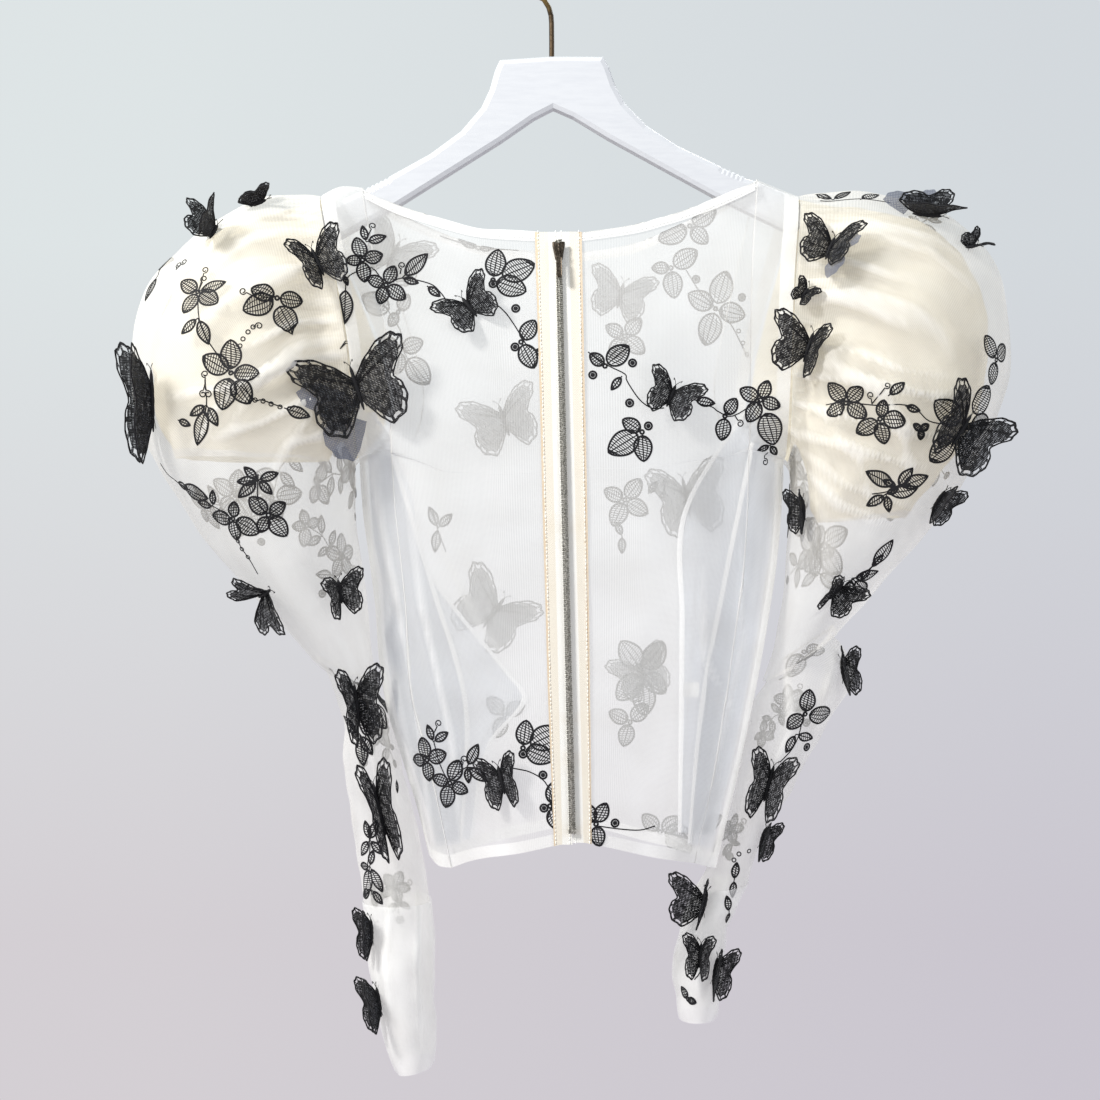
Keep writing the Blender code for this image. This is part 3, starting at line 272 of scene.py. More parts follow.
Ray = namedtuple("Ray", "cloth wide high points")
RAYS = [
    Ray("puff_right", 4.0, 4.2, [(786, 372), (868, 384), (940, 398), (1000, 396)]),
    Ray("puff_right", 4.0, 3.8, [(786, 430), (860, 452), (930, 470)]),
    Ray("puff_right", 3.4, 3.0, [(802, 290), (860, 305), (920, 330)]),
    Ray("puff_right", 3.6, 3.2, [(788, 340), (850, 352), (905, 372), (950, 380)]),
    Ray("puff_right", 3.6, 3.4, [(788, 400), (870, 425), (950, 440)]),
    Ray("puff_right", 3.0, 2.4, [(806, 250), (850, 262), (905, 285)]),
    Ray("puff_right", 3.4, 3.0, [(806, 470), (840, 505), (898, 528)]),
    Ray("puff_right", 3.0, 2.6, [(800, 448), (846, 486), (880, 500), (930, 512)]),
    Ray("puff_right", 3.0, 2.2, [(860, 232), (930, 252), (980, 296)]),
    Ray("puff_left", 4.0, 4.2, [(352, 352), (300, 362), (232, 388), (160, 398)]),
    Ray("puff_left", 3.6, 3.4, [(354, 392), (312, 398), (262, 424), (206, 440)]),
    Ray("puff_left", 3.4, 3.2, [(340, 318), (290, 326), (236, 352)]),
    Ray("puff_left", 3.4, 3.0, [(352, 424), (316, 438), (282, 448)]),
    Ray("puff_left", 3.0, 2.6, [(322, 262), (282, 278), (236, 300)]),
    Ray("puff_left", 3.0, 2.2, [(306, 228), (252, 240), (196, 282)]),
    Ray("puff_left", 3.0, 2.4, [(250, 380), (214, 412), (190, 452)]),
    Ray("lower_left", 3.4, 2.4, [(354, 560), (362, 690), (384, 820), (398, 890)]),
    Ray("lower_left", 3.0, 2.0, [(376, 640), (384, 740), (402, 850)]),
    Ray("lower_left", 3.0, 2.0, [(392, 880), (386, 960), (396, 1064)]),
    Ray("lower_left", 3.0, 2.4, [(418, 884), (414, 970), (420, 1058)]),
    Ray("lower_right", 3.4, 2.6, [(800, 560), (838, 640), (812, 740), (768, 812)]),
    Ray("lower_right", 3.0, 2.2, [(784, 640), (790, 730), (752, 812)]),
    Ray("lower_right", 3.0, 2.0, [(700, 880), (694, 940), (700, 1000)]),
    Ray("back_left", 3.4, 2.0, [(366, 446), (398, 600), (424, 760), (434, 856)]),
    Ray("back_left", 3.0, 1.6, [(404, 470), (420, 600), (452, 740), (462, 850)]),
    Ray("back_right", 3.4, 2.2, [(774, 446), (768, 560), (744, 700), (716, 852)]),
    Ray("back_right", 3.0, 1.8, [(738, 480), (742, 640), (712, 780), (692, 850)]),
    Ray("back_right", 3.0, 1.4, [(700, 560), (704, 660), (738, 720)]),
    Ray("front", 3.4, 2.0, [(440, 470), (440, 560), (480, 640), (520, 690)]),
    Ray("front", 3.4, 2.0, [(690, 470), (694, 560), (706, 680), (700, 820)]),
]
CREASE_ENDS = 0.7
RAY_ABOVE = 2.3
RAY_BELOW = 1.3
FAR_SHIFT = 14.0
FOLD_REACH = 2
FOLD_FULL = 2.0 * MM
GATHERS = 10
GATHER_DEPTH = 0.0022
GATHER_END = 2.6
SMALL_GATHERS = 46
SMALL_GATHER_DEPTH = 0.0007

ARM_TURNS = [0.0, 9.7, 22.5, 40.0, 60.0, 80.0, 100.0, 120.0, 140.0, 160.0, 180.0]
SIDE_STEPS = 8
SHARES_IN = [0.28, 0.42, 0.56, 0.70, 0.84]


def slope(keys, values, i):
    low = max(i - 1, 0)
    high = min(i + 1, len(keys) - 1)
    return (values[high] - values[low]) / (keys[high] - keys[low])


def column(rows, key, field, at):
    """Smooth value of one named column at a place along the key column."""
    keys = [getattr(row, key) for row in rows]
    values = [getattr(row, field) for row in rows]
    at = min(max(at, keys[0]), keys[-1])
    i = min(max(bisect_right(keys, at) - 1, 0), len(keys) - 2)
    step = keys[i + 1] - keys[i]
    part = (at - keys[i]) / step
    slope_a = slope(keys, values, i) * step
    slope_b = slope(keys, values, i + 1) * step
    square = part * part
    cube = square * part
    return (
        (2 * cube - 3 * square + 1) * values[i]
        + (cube - 2 * square + part) * slope_a
        + (3 * square - 2 * cube) * values[i + 1]
        + (cube - square) * slope_b
    )


def at_drop(x, y, drop):
    return Vector((x, y, SHOULDER_Z - drop))


def node_tree(name):
    mesh = NODES[name].data
    points = [v.co.copy() for v in mesh.vertices]
    return BVHTree.FromPolygons(points, [tuple(p.vertices) for p in mesh.polygons])


TREES = {name: node_tree(name) for name in NODES}


def hanger_rest(x):
    """Drop of the hanger's top edge under a given x."""
    found = TREES["hanger"].ray_cast(Vector((x, 0.0, 0.0)), Vector((0.0, 0.0, -1.0)))
    return SHOULDER_Z - (found[0].z if found[0] else -0.205)


def arm_drop(side):
    return ARM_DROP_LEFT if side < 0 else ARM_DROP_RIGHT


def side_x(side, drop):
    return column(BODY, "drop", "left" if side < 0 else "right", drop)


def zip_x(drop):
    return column(BODY, "drop", "zip", drop)


def hem_drop(x):
    return column(HEM, "x", "drop", x)


def side_rows(side):
    reach = arm_drop(side)
    rows = [(reach * (1 - math.cos(math.radians(t))) / 2, t) for t in ARM_TURNS]
    hem = hem_drop(-1.0 if side < 0 else 1.0)
    for i in range(1, SIDE_STEPS + 1):
        rows.append((reach + (hem - reach) * i / SIDE_STEPS, None))
    return rows


def armhole(side, face, turn):
    """Point of the armhole edge at a turn: 0 shoulder, 180 underarm."""
    angle = math.radians(turn)
    part = (1 - math.cos(angle)) / 2
    drop = arm_drop(side) * part
    x = side_x(side, drop)
    if face > 0:
        x -= side * column(FRONT_ARM, "part", "inset", part)
    depth = ARM_DEPTH_FRONT if face > 0 else ARM_DEPTH_BACK
    return at_drop(x, face * max(SEAM_Y, depth * math.sin(angle)), drop)


def shoulder_drop(side, x):
    rows = SHOULDER_LEFT if side < 0 else SHOULDER_RIGHT
    return min(column(rows, "x", "drop", x), hanger_rest(x) - SEAM_REST)


def neck_drop(face, x):
    drop = column(NECK, "x", "front" if face > 0 else "back", x)
    if abs(x) > 0.14:
        drop = min(drop, hanger_rest(x) + 0.0012)
    return drop


def top_points(side, face, end_x):
    """Columns of the panel's top edge: shoulder seam, neck corner, neckline."""
    rows = SHOULDER_LEFT if side < 0 else list(reversed(SHOULDER_RIGHT))
    points = [(row.x, shoulder_drop(side, row.x)) for row in rows]
    neck = NECK[0].x if side < 0 else NECK[-1].x
    points.append((neck, neck_drop(face, neck)))
    for share in SHARES_IN[:-1]:
        x = neck + (end_x - neck) * (share - 0.14) / 0.86
        points.append((x, neck_drop(face, x)))
    return points


def fold_lift(face, x, drop):
    lift = 0.0
    wanted = "front" if face > 0 else "back"
    for fold in BODY_FOLDS:
        if fold.face != wanted or drop < fold.drop_top:
            continue
        part = min((drop - fold.drop_top) / (fold.drop_low - fold.drop_top), 1.0)
        middle = fold.x_top + (fold.x_low - fold.x_top) * part
        lift += fold.depth * part ** 0.6 * math.exp(-(((x - middle) / fold.width) ** 2))
    return lift


def panel_depth(face, share, edge, x, drop):
    """Distance of a panel point from the middle plane."""
    middle = column(BODY, "drop", "front" if face > 0 else "back", drop)
    rise = (1 - (1 - share) ** 2) ** 0.62
    depth = middle * rise + edge * (1 - share) ** 6 + fold_lift(face, x, drop) * rise
    return max(depth, HANGER_CLEAR) if drop < 0.05 else depth


def panel_point(face, middle_x, tops, share, c, edge, part, first_row):
    if c == 0:
        return edge.copy()
    top = tops[c][1] if c < len(tops) else neck_drop(face, middle_x(0.03))
    guess = edge.x + (middle_x(0.25) - edge.x) * share
    drop = top + (hem_drop(guess) - top) * part
    x = edge.x + (middle_x(drop) - edge.x) * share
    if first_row and c < len(tops):
        x = tops[c][0]
    if first_row and c <= 2:
        return at_drop(x, face * SEAM_Y, drop)
    return at_drop(x, face * panel_depth(face, share, abs(edge.y), x, drop), drop)


def panel_grid(side, face, middle_x):
    """Grid of one half panel; middle_x gives its inner edge at a drop."""
    tops = top_points(side, face, middle_x(0.03))
    span = middle_x(0.03) - tops[0][0]
    shares = [(x - tops[0][0]) / span for x, _ in tops]
    shares += [1 - 0.0095 / abs(span), 1.0]
    rows = side_rows(side)
    full = rows[-1][0]
    grid = []
    for r, (edge_drop, turn) in enumerate(rows):
        if turn is None:
            edge = at_drop(side_x(side, edge_drop), face * SEAM_Y, edge_drop)
        else:
            edge = armhole(side, face, turn)
        part = edge_drop / full
        line = [panel_point(face, middle_x, tops, s, c, edge, part, r == 0) for c, s in enumerate(shares)]
        grid.append(line)
    return grid


def crease_lift(creases, side, ring, turn, sharp=2):
    wanted = "left" if side < 0 else "right"
    lift = 0.0
    for crease in creases:
        if crease.side != wanted or not crease.start < ring < crease.end:
            continue
        part = (ring - crease.start) / (crease.end - crease.start)
        middle = crease.turn + crease.drift * part
        away = (turn - middle + 180) % 360 - 180
        fall = math.exp(-(abs(away / crease.width) ** sharp))
        lift += crease.depth * math.sin(math.pi * part) ** CREASE_ENDS * fall
    return lift


def photo_place(point):
    """Pixel of the photograph where a point shows."""
    scale = -EYE.y / (point.y - EYE.y) / PHOTO_PIXEL
    return PHOTO_MIDDLE + (point.x - EYE.x) * scale, PHOTO_MIDDLE - (point.z - EYE.z) * scale


def nearest_on(points, px, py):
    """Signed distance to a line of pixels, below it is positive, and the share along it."""
    best = None
    for i, ((ax, ay), (bx, by)) in enumerate(zip(points, points[1:])):
        dx, dy = bx - ax, by - ay
        part = min(max(((px - ax) * dx + (py - ay) * dy) / (dx * dx + dy * dy), 0.0), 1.0)
        away = math.hypot(px - ax - dx * part, py - ay - dy * part)
        if best is None or away < best[0]:
            turn = dx * (py - ay) - dy * (px - ax)
            below = turn * (1 if abs(dx) < abs(dy) else dx) > 0
            best = (away, below, (i + part) / (len(points) - 1))
    return best


def ray_lift(rays, px, py):
    lift = 0.0
    for ray in rays:
        away, below, part = nearest_on(ray.points, px, py)
        wide = ray.wide * (RAY_BELOW if below else RAY_ABOVE)
        if away < 6 * wide:
            fade = math.sin(math.pi * min(part, 0.99)) ** CREASE_ENDS
            lift += ray.high * MM * math.exp(-away / wide) * fade
    return lift


def folded(grid, normals, name):
    """Raise the ridges of the photograph, and like ones on the side it hides."""
    rays = [ray for ray in RAYS if ray.cloth == name]
    lifts = []
    for row, line in zip(grid, normals):
        heights = []
        for point, normal in zip(row, line):
            px, py = photo_place(point)
            heights.append(ray_lift(rays, px, py + FAR_SHIFT * (normal.y > 0)))
        lifts.append(heights)
    return moved(grid, normals, lambda r, c: lifts[r][c])


def gather_lift(ring, turn):
    lift = 0.0
    if ring < GATHER_END:
        fade = math.sin(math.pi * ring / GATHER_END)
        lift += GATHER_DEPTH * fade * math.cos(math.radians(GATHERS * turn))
    if ring < 1.6:
        fade = math.sin(math.pi * ring / 1.6)
        wander = 14 * math.sin(math.radians(3 * turn))
        lift += SMALL_GATHER_DEPTH * fade * math.cos(math.radians(SMALL_GATHERS * (turn + wander / 6)))
    return lift


def ring_point(ring, turn):
    """Point of a sleeve ring: turn 0 top, 90 at the back, 180 underside."""
    angle = math.radians(turn)
    top = Vector((ring.top_x, 0.0, SHOULDER_Z - ring.top_drop))
    low = Vector((ring.low_x, 0.0, SHOULDER_Z - ring.low_drop))
    point = (top + low) / 2 + (top - low) / 2 * math.cos(angle)
    point.y = ring.y - ring.depth * math.sin(angle)
    return point


def arm_loop_point(side, turn):
    """Point just outside the body's armhole edge."""
    face = -1 if turn <= 180 else 1
    turn = min(turn, 360 - turn)
    i = min(bisect_right(ARM_TURNS, turn) - 1, len(ARM_TURNS) - 2)
    low = armhole(side, face, ARM_TURNS[i])
    high = armhole(side, face, ARM_TURNS[i + 1])
    part = (turn - ARM_TURNS[i]) / (ARM_TURNS[i + 1] - ARM_TURNS[i])
    gap = ARM_GAP + UNDERARM_GAP * math.sin(math.radians(turn / 2)) ** 6
    return low.lerp(high, part) + Vector((side * gap, 0.0, 0.0))


# Grids of points: refined, moved out and made into sheets.

def spline(a, b, c, d, t):
    return 0.5 * (
        2 * b + (c - a) * t + (2 * a - 5 * b + 4 * c - d) * t * t + (3 * b - a - 3 * c + d) * t * t * t
    )


def refine_line(points, closed, times):
    """Smooth line through the points, with so many steps between each two."""
    count = len(points)
    fine = []
    for i in range(count if closed else count - 1):
        if closed:
            a, b, c, d = (points[(i + k) % count] for k in (-1, 0, 1, 2))
        else:
            b, c = points[i], points[i + 1]
            a = points[i - 1] if i > 0 else b * 2 - c
            d = points[i + 2] if i + 2 < count else c * 2 - b
        fine.extend(spline(a, b, c, d, k / times) for k in range(times))
    return fine if closed else fine + [points[-1].copy()]


def refine(grid, closed, down, across):
    wide = [refine_line(row, closed, across) for row in grid]
    columns = [refine_line(list(line), False, down) for line in zip(*wide)]
    return [list(row) for row in zip(*columns)]


def core_of(row):
    return sum(row, Vector()) / len(row)


def grid_normals(grid, closed, flat):
    """Outward normals of a grid of points; flat panels face away from Y 0."""
    height, width = len(grid), len(grid[0])
    normals = []
    for r, row in enumerate(grid):
        core = core_of(row)
        line = []
        for c, point in enumerate(row):
            left = row[(c - 1) % width] if closed else row[max(c - 1, 0)]
            right = row[(c + 1) % width] if closed else row[min(c + 1, width - 1)]
            down = grid[min(r + 1, height - 1)][c] - grid[max(r - 1, 0)][c]
            normal = (right - left).cross(down).normalized()
            away = Vector((0.0, point.y, 0.0)) if flat else point - core
            line.append(normal if normal.dot(away) >= 0 else -normal)
        normals.append(line)
    return normals


def moved(grid, normals, depth):
    """The grid moved out along its normals; depth is a number or a function of row and column."""
    amount = depth if callable(depth) else lambda r, c: depth
    return [
        [p + n * amount(r, c) for c, (p, n) in enumerate(zip(row, line))]
        for r, (row, line) in enumerate(zip(grid, normals))
    ]


def grid_faces(height, width, closed):
    faces = []
    for r in range(height - 1):
        for c in range(width if closed else width - 1):
            d = (c + 1) % width
            faces.append((r * width + c, r * width + d, (r + 1) * width + d, (r + 1) * width + c))
    return faces


def fold_values(grid, normals, closed):
    """How far each point stands out of the cloth beside it, from -1 to 1."""
    width = len(grid[0])
    values = []
    for row, line in zip(grid, normals):
        for c, (point, normal) in enumerate(zip(row, line)):
            left = c - FOLD_REACH
            right = c + FOLD_REACH
            if closed:
                left, right = left % width, right % width
            elif left < 0 or right >= width:
                values.append(0.0)
                continue
            rise = (point - (row[left] + row[right]) / 2).dot(normal)
            values.append(min(max(rise / FOLD_FULL, -1.0), 1.0))
    return values


def sheet_mesh(name, grid, closed, flat):
    """Single sheet with its UV map in metres, facing outwards."""
    height, width = len(grid), len(grid[0])
    faces = grid_faces(height, width, closed)
    normals = grid_normals(grid, closed, flat)
    r, c = height // 2, width // 2
    a, b, d = grid[r][c], grid[r][(c + 1) % width], grid[min(r + 1, height - 1)][c]
    if (b - a).cross(d - a).dot(normals[r][c]) < 0:
        faces = [tuple(reversed(face)) for face in faces]
    mesh = bpy.data.meshes.new(name)
    mesh.from_pydata([tuple(p) for row in grid for p in row], [], faces)
    middle = grid[height // 2]
    step_across = sum((q - p).length for p, q in zip(middle, middle[1:])) / (width - 1)
    spine = [row[width // 2] for row in grid]
    reach = [0.0]
    for p, q in zip(spine, spine[1:]):
        reach.append(reach[-1] + (q - p).length)
    layer = mesh.uv_layers.new(name="metres")
    for polygon in mesh.polygons:
        columns = [mesh.loops[i].vertex_index % width for i in polygon.loop_indices]
        wrap = closed and max(columns) - min(columns) > 1
        for i, column_at in zip(polygon.loop_indices, columns):
            row_at = mesh.loops[i].vertex_index // width
            place = width if wrap and column_at == 0 else column_at
            layer.data[i].uv = (place * step_across, reach[row_at])
    folds = mesh.attributes.new("fold", "FLOAT", "POINT")
    folds.data.foreach_set("value", fold_values(grid, normals, closed))
    mesh.shade_smooth()
    mesh.update()
    return mesh


def link(name, mesh, material, replaced=(), body="blouse"):
    """Put a finished mesh in the scene, on its body and with its slot."""
    item = bpy.data.objects.new(name, mesh)
    bpy.context.scene.collection.objects.link(item)
    item.data.materials.append(material)
    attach(item, body)
    if replaced:
        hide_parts(*replaced)
    return item


SHEETS = {}


# Materials.

class Graph:
    """A material's node tree, with short calls to fill it."""

    def __init__(self, name):
        self.material = bpy.data.materials.new(name)
        self.material.use_nodes = True
        self.tree = self.material.node_tree
        self.tree.nodes.clear()
        self.out = self.add("OutputMaterial", {})

    def add(self, kind, inputs, **settings):
        node = self.tree.nodes.new("ShaderNode" + kind)
        for key, value in settings.items():
            setattr(node, key, value)
        for key, value in inputs.items():
            socket = node.inputs[key]
            if isinstance(value, bpy.types.NodeSocket):
                self.tree.links.new(value, socket)
            else:
                socket.default_value = value
        return node

    def math(self, operation, a, b=0.0):
        return self.add("Math", {0: a, 1: b}, operation=operation).outputs[0]

    def blend(self, factor, a, b):
        node = self.add("Mix", {"Factor": factor}, data_type="RGBA")
        for socket, value in ((node.inputs[6], a), (node.inputs[7], b)):
            if isinstance(value, bpy.types.NodeSocket):
                self.tree.links.new(value, socket)
            else:
                socket.default_value = value
        return node.outputs[2]

    def uv_parts(self):
        uv = self.add("UVMap", {}, uv_map="metres").outputs[0]
        split = self.add("SeparateXYZ", {0: uv})
        return uv, split.outputs[0], split.outputs[1]

    def stripes(self, along, pitch):
        """0 to 1 sine stripes across a coordinate in metres."""
        wave = self.math("SINE", self.math("MULTIPLY", along, 2 * math.pi / pitch))
        return self.math("ADD", self.math("MULTIPLY", wave, 0.5), 0.5)

    def noise(self, vector, scale, detail=3.0):
        return self.add("TexNoise", {"Vector": vector, "Scale": scale, "Detail": detail}).outputs[0]

    def ramp(self, value, low, high, to_low=0.0, to_high=1.0):
        return self.add("MapRange", {
            "Value": value, "From Min": low, "From Max": high, "To Min": to_low, "To Max": to_high,
        }).outputs[0]

    def bump(self, height, distance, strength=1.0):
        return self.add("Bump", {"Height": height, "Distance": distance, "Strength": strength}).outputs[0]

    def finish(self, shader):
        self.tree.links.new(shader, self.out.inputs[0])
        return self.material


RIDGE_COVER = 0.45
TROUGH_COVER = 0.16
TROUGH_SHADE = 0.55
FULL_COVER = 0.97
SHADE_TINT = (0.62, 0.58, 0.52)


def organza(cloth):
    """Sheer woven cloth: a fine net of threads, denser and whiter along its folds, with painted shade in
    the troughs of the folds.
    """
    g = Graph(cloth.name)
    uv, u, v = g.uv_parts()
    threads = g.math("MAXIMUM", g.stripes(u, cloth.pitch), g.stripes(v, cloth.pitch))
    fold = g.add("Attribute", {}, attribute_name="fold", attribute_type="GEOMETRY").outputs["Fac"]
    ridge = g.ramp(fold, 0.05, 1.0)
    trough = g.ramp(fold, -0.05, -1.0)
    cover = g.ramp(threads, 0.0, 1.0, cloth.density - cloth.net, cloth.density + cloth.net * 0.6)
    cover = g.math("ADD", cover, g.math("MULTIPLY", ridge, RIDGE_COVER))
    cover = g.math("ADD", cover, g.math("MULTIPLY", trough, TROUGH_COVER))
    cover = g.math("MINIMUM", cover, FULL_COVER)
    dark = tuple(c * d for c, d in zip(cloth.colour, SHADE_TINT))
    soft = g.ramp(g.noise(uv, 26.0, 1.0), 0.40, 0.72, 0.0, cloth.shade)
    # Painted shade: in the troughs of the folds the tone darkens towards SHADE_TINT; the noise also darkens
    # it in soft random patches.
    shaded = g.math("MAXIMUM", soft, g.math("MULTIPLY", trough, TROUGH_SHADE))
    tone = g.blend(shaded, (*cloth.colour, 1.0), (*dark, 1.0))
    face = g.add("BsdfPrincipled", {
        "Base Color": tone, "Roughness": 0.6, "Specular IOR Level": 0.2,
    }).outputs[0]
    glow = g.add("BsdfTranslucent", {"Color": tone}).outputs[0]
    solid = g.add("MixShader", {0: cloth.translucent, 1: face, 2: glow}).outputs[0]
    clear = g.add("BsdfTransparent", {}).outputs[0]
    return g.finish(g.add("MixShader", {0: cover, 1: clear, 2: solid}).outputs[0])


def thread_material(name, colour):
    g = Graph(name)
    place = g.add("TexCoord", {}).outputs["Object"]
    strands = g.noise(place, 2600.0, 2.0)
    tone = g.blend(g.ramp(strands, 0.35, 0.75), (*colour, 1.0), (*[c * 2.2 + 0.004 for c in colour], 1.0))
    return g.finish(g.add("BsdfPrincipled", {
        "Base Color": tone, "Roughness": 0.6, "Sheen Weight": 0.05, "Specular IOR Level": 0.16,
        "Normal": g.bump(strands, 0.2 * MM, 0.6),
    }).outputs[0])


def lace_material(name, ground):
    """Wings filled with close stitching, and a ground that shows between its rows."""
    g = Graph(name)
    uv, u, v = g.uv_parts()
    rows = g.stripes(g.math("ADD", v, g.math("MULTIPLY", g.noise(uv, 160.0), 0.0016)), 1.15 * MM)
    cross = g.stripes(u, 2.3 * MM)
    patch = g.noise(uv, 210.0, 1.0)
    gap = g.math("MULTIPLY", g.ramp(rows, 0.25, 0.05), g.ramp(cross, 0.9, 0.6))
    fleck = g.math("MULTIPLY", gap, g.ramp(patch, 0.42, 0.55))
    tone = g.blend(fleck, (0.006, 0.006, 0.007, 1.0), (0.20, 0.21, 0.24, 1.0))
    face = g.add("BsdfPrincipled", {
        "Base Color": tone, "Roughness": 0.62, "Sheen Weight": 0.04, "Specular IOR Level": 0.14,
        "Normal": g.bump(rows, 0.35 * MM, 0.7),
    }).outputs[0]
    clear = g.add("BsdfTransparent", {}).outputs[0]
    cover = g.math("MULTIPLY", g.ramp(fleck, 0.0, 1.0, 1.0, 0.35), g.ramp(rows, 0.35, 0.60, ground, 1.0))
    return g.finish(g.add("MixShader", {0: cover, 1: clear, 2: face}).outputs[0])


def tape_material():
    """Herringbone tape: rough tan outer edge, cream band, whiter band by the teeth."""
    g = Graph("zip_tape_weave")
    uv, u, v = g.uv_parts()
    fold = g.math("ABSOLUTE", g.math("SUBTRACT", g.math("MODULO", u, 3.6 * MM), 1.8 * MM))
    bars = g.stripes(g.math("ADD", v, fold), 1.3 * MM)
    ragged = g.ramp(g.noise(uv, 240.0, 4.0), 0.3, 0.7, -1.2 * MM, 1.2 * MM)
    place = g.math("ADD", u, ragged)
    tone = g.blend(g.ramp(place, 1.2 * MM, 2.6 * MM), (0.60, 0.48, 0.34, 1.0), (0.70, 0.65, 0.555, 1.0))
    tone = g.blend(g.ramp(u, 8.6 * MM, 9.4 * MM), tone, (0.77, 0.76, 0.72, 1.0))
    stain = g.noise(uv, 34.0, 4.0)
    tone = g.blend(g.ramp(stain, 0.55, 0.80, 0.0, 0.45), tone, (0.64, 0.56, 0.44, 1.0))
    tone = g.blend(g.ramp(bars, 0.0, 0.45, 0.22, 0.0), tone, (0.60, 0.56, 0.50, 1.0))
    return g.finish(g.add("BsdfPrincipled", {
        "Base Color": tone, "Roughness": 0.7, "Sheen Weight": 0.2,
        "Normal": g.bump(bars, 0.3 * MM, 0.5),
    }).outputs[0])


def metal(name, colour, dark, roughness, grain):
    g = Graph(name)
    place = g.add("TexCoord", {}).outputs["Object"]
    wear = g.noise(place, grain, 4.0)
    tone = g.blend(g.ramp(wear, 0.4, 0.65), (*dark, 1.0), (*colour, 1.0))
    return g.finish(g.add("BsdfPrincipled", {
        "Base Color": tone, "Metallic": 1.0,
        "Roughness": g.ramp(wear, 0.3, 0.7, roughness, roughness + 0.2),
        "Normal": g.bump(wear, 0.05 * MM, 0.3),
    }).outputs[0])


def hook_material():
    """Bronze wire with a painted highlight that turns it brighter gold towards the bend."""
    g = Graph("hook_bronze")
    place = g.add("TexCoord", {}).outputs["Object"]
    height = g.add("SeparateXYZ", {0: place}).outputs[2]
    wear = g.noise(place, 420.0, 4.0)
    # Painted highlight: dark bronze low on the stem turns to bright gold towards the bend.
    bend_highlight_tone = g.blend(g.ramp(height, -0.050, -0.030), (0.060, 0.042, 0.026, 1.0), (0.42, 0.28, 0.09, 1.0))
    tone = g.blend(g.ramp(wear, 0.5, 0.7, 0.0, 0.5), bend_highlight_tone, (0.04, 0.03, 0.02, 1.0))
    return g.finish(g.add("BsdfPrincipled", {
        "Base Color": tone, "Metallic": 1.0, "Roughness": g.ramp(wear, 0.3, 0.7, 0.22, 0.42),
    }).outputs[0])


def paint_material():
    """White paint over wood: faint grain, small brush marks."""
    g = Graph("hanger_white")
    place = g.add("TexCoord", {}).outputs["Object"]
    stretched = g.add("Mapping", {"Vector": place, "Scale": (60.0, 400.0, 400.0)}).outputs[0]
    grain = g.noise(stretched, 1.0, 5.0)
    worn = g.ramp(grain, 0.4, 0.7, 0.0, 1.0)
    tone = g.blend(worn, (0.565, 0.578, 0.600, 1.0), (0.530, 0.544, 0.570, 1.0))
    return g.finish(g.add("BsdfPrincipled", {
        "Base Color": tone, "Roughness": g.ramp(grain, 0.3, 0.7, 0.32, 0.46), "Coat Weight": 0.25,
        "Normal": g.bump(grain, 0.04 * MM, 0.35),
    }).outputs[0])


def wall_material():
    """Pale studio shell that gives soft light from all round."""
    g = Graph("studio_pale")
    place = g.add("TexCoord", {}).outputs["Object"]
    split = g.add("SeparateXYZ", {0: place})
    # Painted light and shade on the backdrop: the glow is lighter and bluer towards the top, darker and
    # pinker low down, and darker on the right.
    height = g.ramp(split.outputs[2], -1.35, 0.25)
    side = g.ramp(split.outputs[0], -0.9, 1.1)
    tone = g.blend(height, (0.620, 0.590, 0.620, 1.0), (0.690, 0.735, 0.745, 1.0))
    right = g.blend(height, (0.560, 0.535, 0.590, 1.0), (0.620, 0.655, 0.685, 1.0))
    tone = g.blend(side, tone, right)
    g.material.cycles.emission_sampling = "NONE"
    return g.finish(g.add("Emission", {"Color": tone, "Strength": 1.06}).outputs[0])


THREAD = 0.9 * MM
NET_THREAD = 1.3 * MM
Cloth = namedtuple("Cloth", "name colour density translucent pitch net shade", defaults=(0.10, 0.22))
CLOTHS = [
    Cloth("organza_body", (0.95, 0.945, 0.925), 0.36, 0.40, THREAD),
    Cloth("organza_sleeve", (0.94, 0.93, 0.90), 0.36, 0.42, THREAD),
    Cloth("organza_cuff", (0.96, 0.96, 0.95), 0.42, 0.30, THREAD, 0.08, 0.16),
    Cloth("organza_fold", (0.97, 0.97, 0.97), 0.93, 0.20, THREAD, 0.05, 0.05),
    Cloth("organza_band", (0.95, 0.95, 0.935), 0.60, 0.30, THREAD),
    Cloth("organza_double", (0.92, 0.915, 0.89), 0.62, 0.25, THREAD, 0.06, 0.12),
    Cloth("organza_pleat", (0.70, 0.73, 0.785), 0.56, 0.40, NET_THREAD, 0.24),
    Cloth("lining_cream", (0.93, 0.875, 0.735), 0.90, 0.42, 0.5 * MM, 0.04, 0.30),
    Cloth("tulle_dark", (0.10, 0.115, 0.17), 0.68, 0.30, NET_THREAD, 0.30),
    Cloth("label_satin", (0.93, 0.93, 0.92), 0.96, 0.20, 0.3 * MM, 0.02),
]
(
    ORGANZA, ORGANZA_SLEEVE, ORGANZA_CUFF, ORGANZA_FOLD, ORGANZA_BAND,
    ORGANZA_DOUBLE, ORGANZA_PLEAT, LINING, TULLE, SATIN,
) = map(organza, CLOTHS)
BLACK = thread_material("thread_black", (0.005, 0.005, 0.006))
CREAM_THREAD = thread_material("thread_cream", (0.86, 0.85, 0.80))
LACE = lace_material("lace_fill", 0.94)
LACE_OPEN = lace_material("lace_open", 0.45)
TAPE_WEAVE = tape_material()
TEETH = metal("zip_teeth_metal", (0.52, 0.50, 0.45), (0.20, 0.19, 0.16), 0.30, 900.0)
BRONZE = metal("zip_bronze", (0.11, 0.09, 0.07), (0.05, 0.04, 0.03), 0.30, 700.0)
HOOK = hook_material()
PAINT = paint_material()


# Cloth sheets.

OFFSET = 0.5 * MM


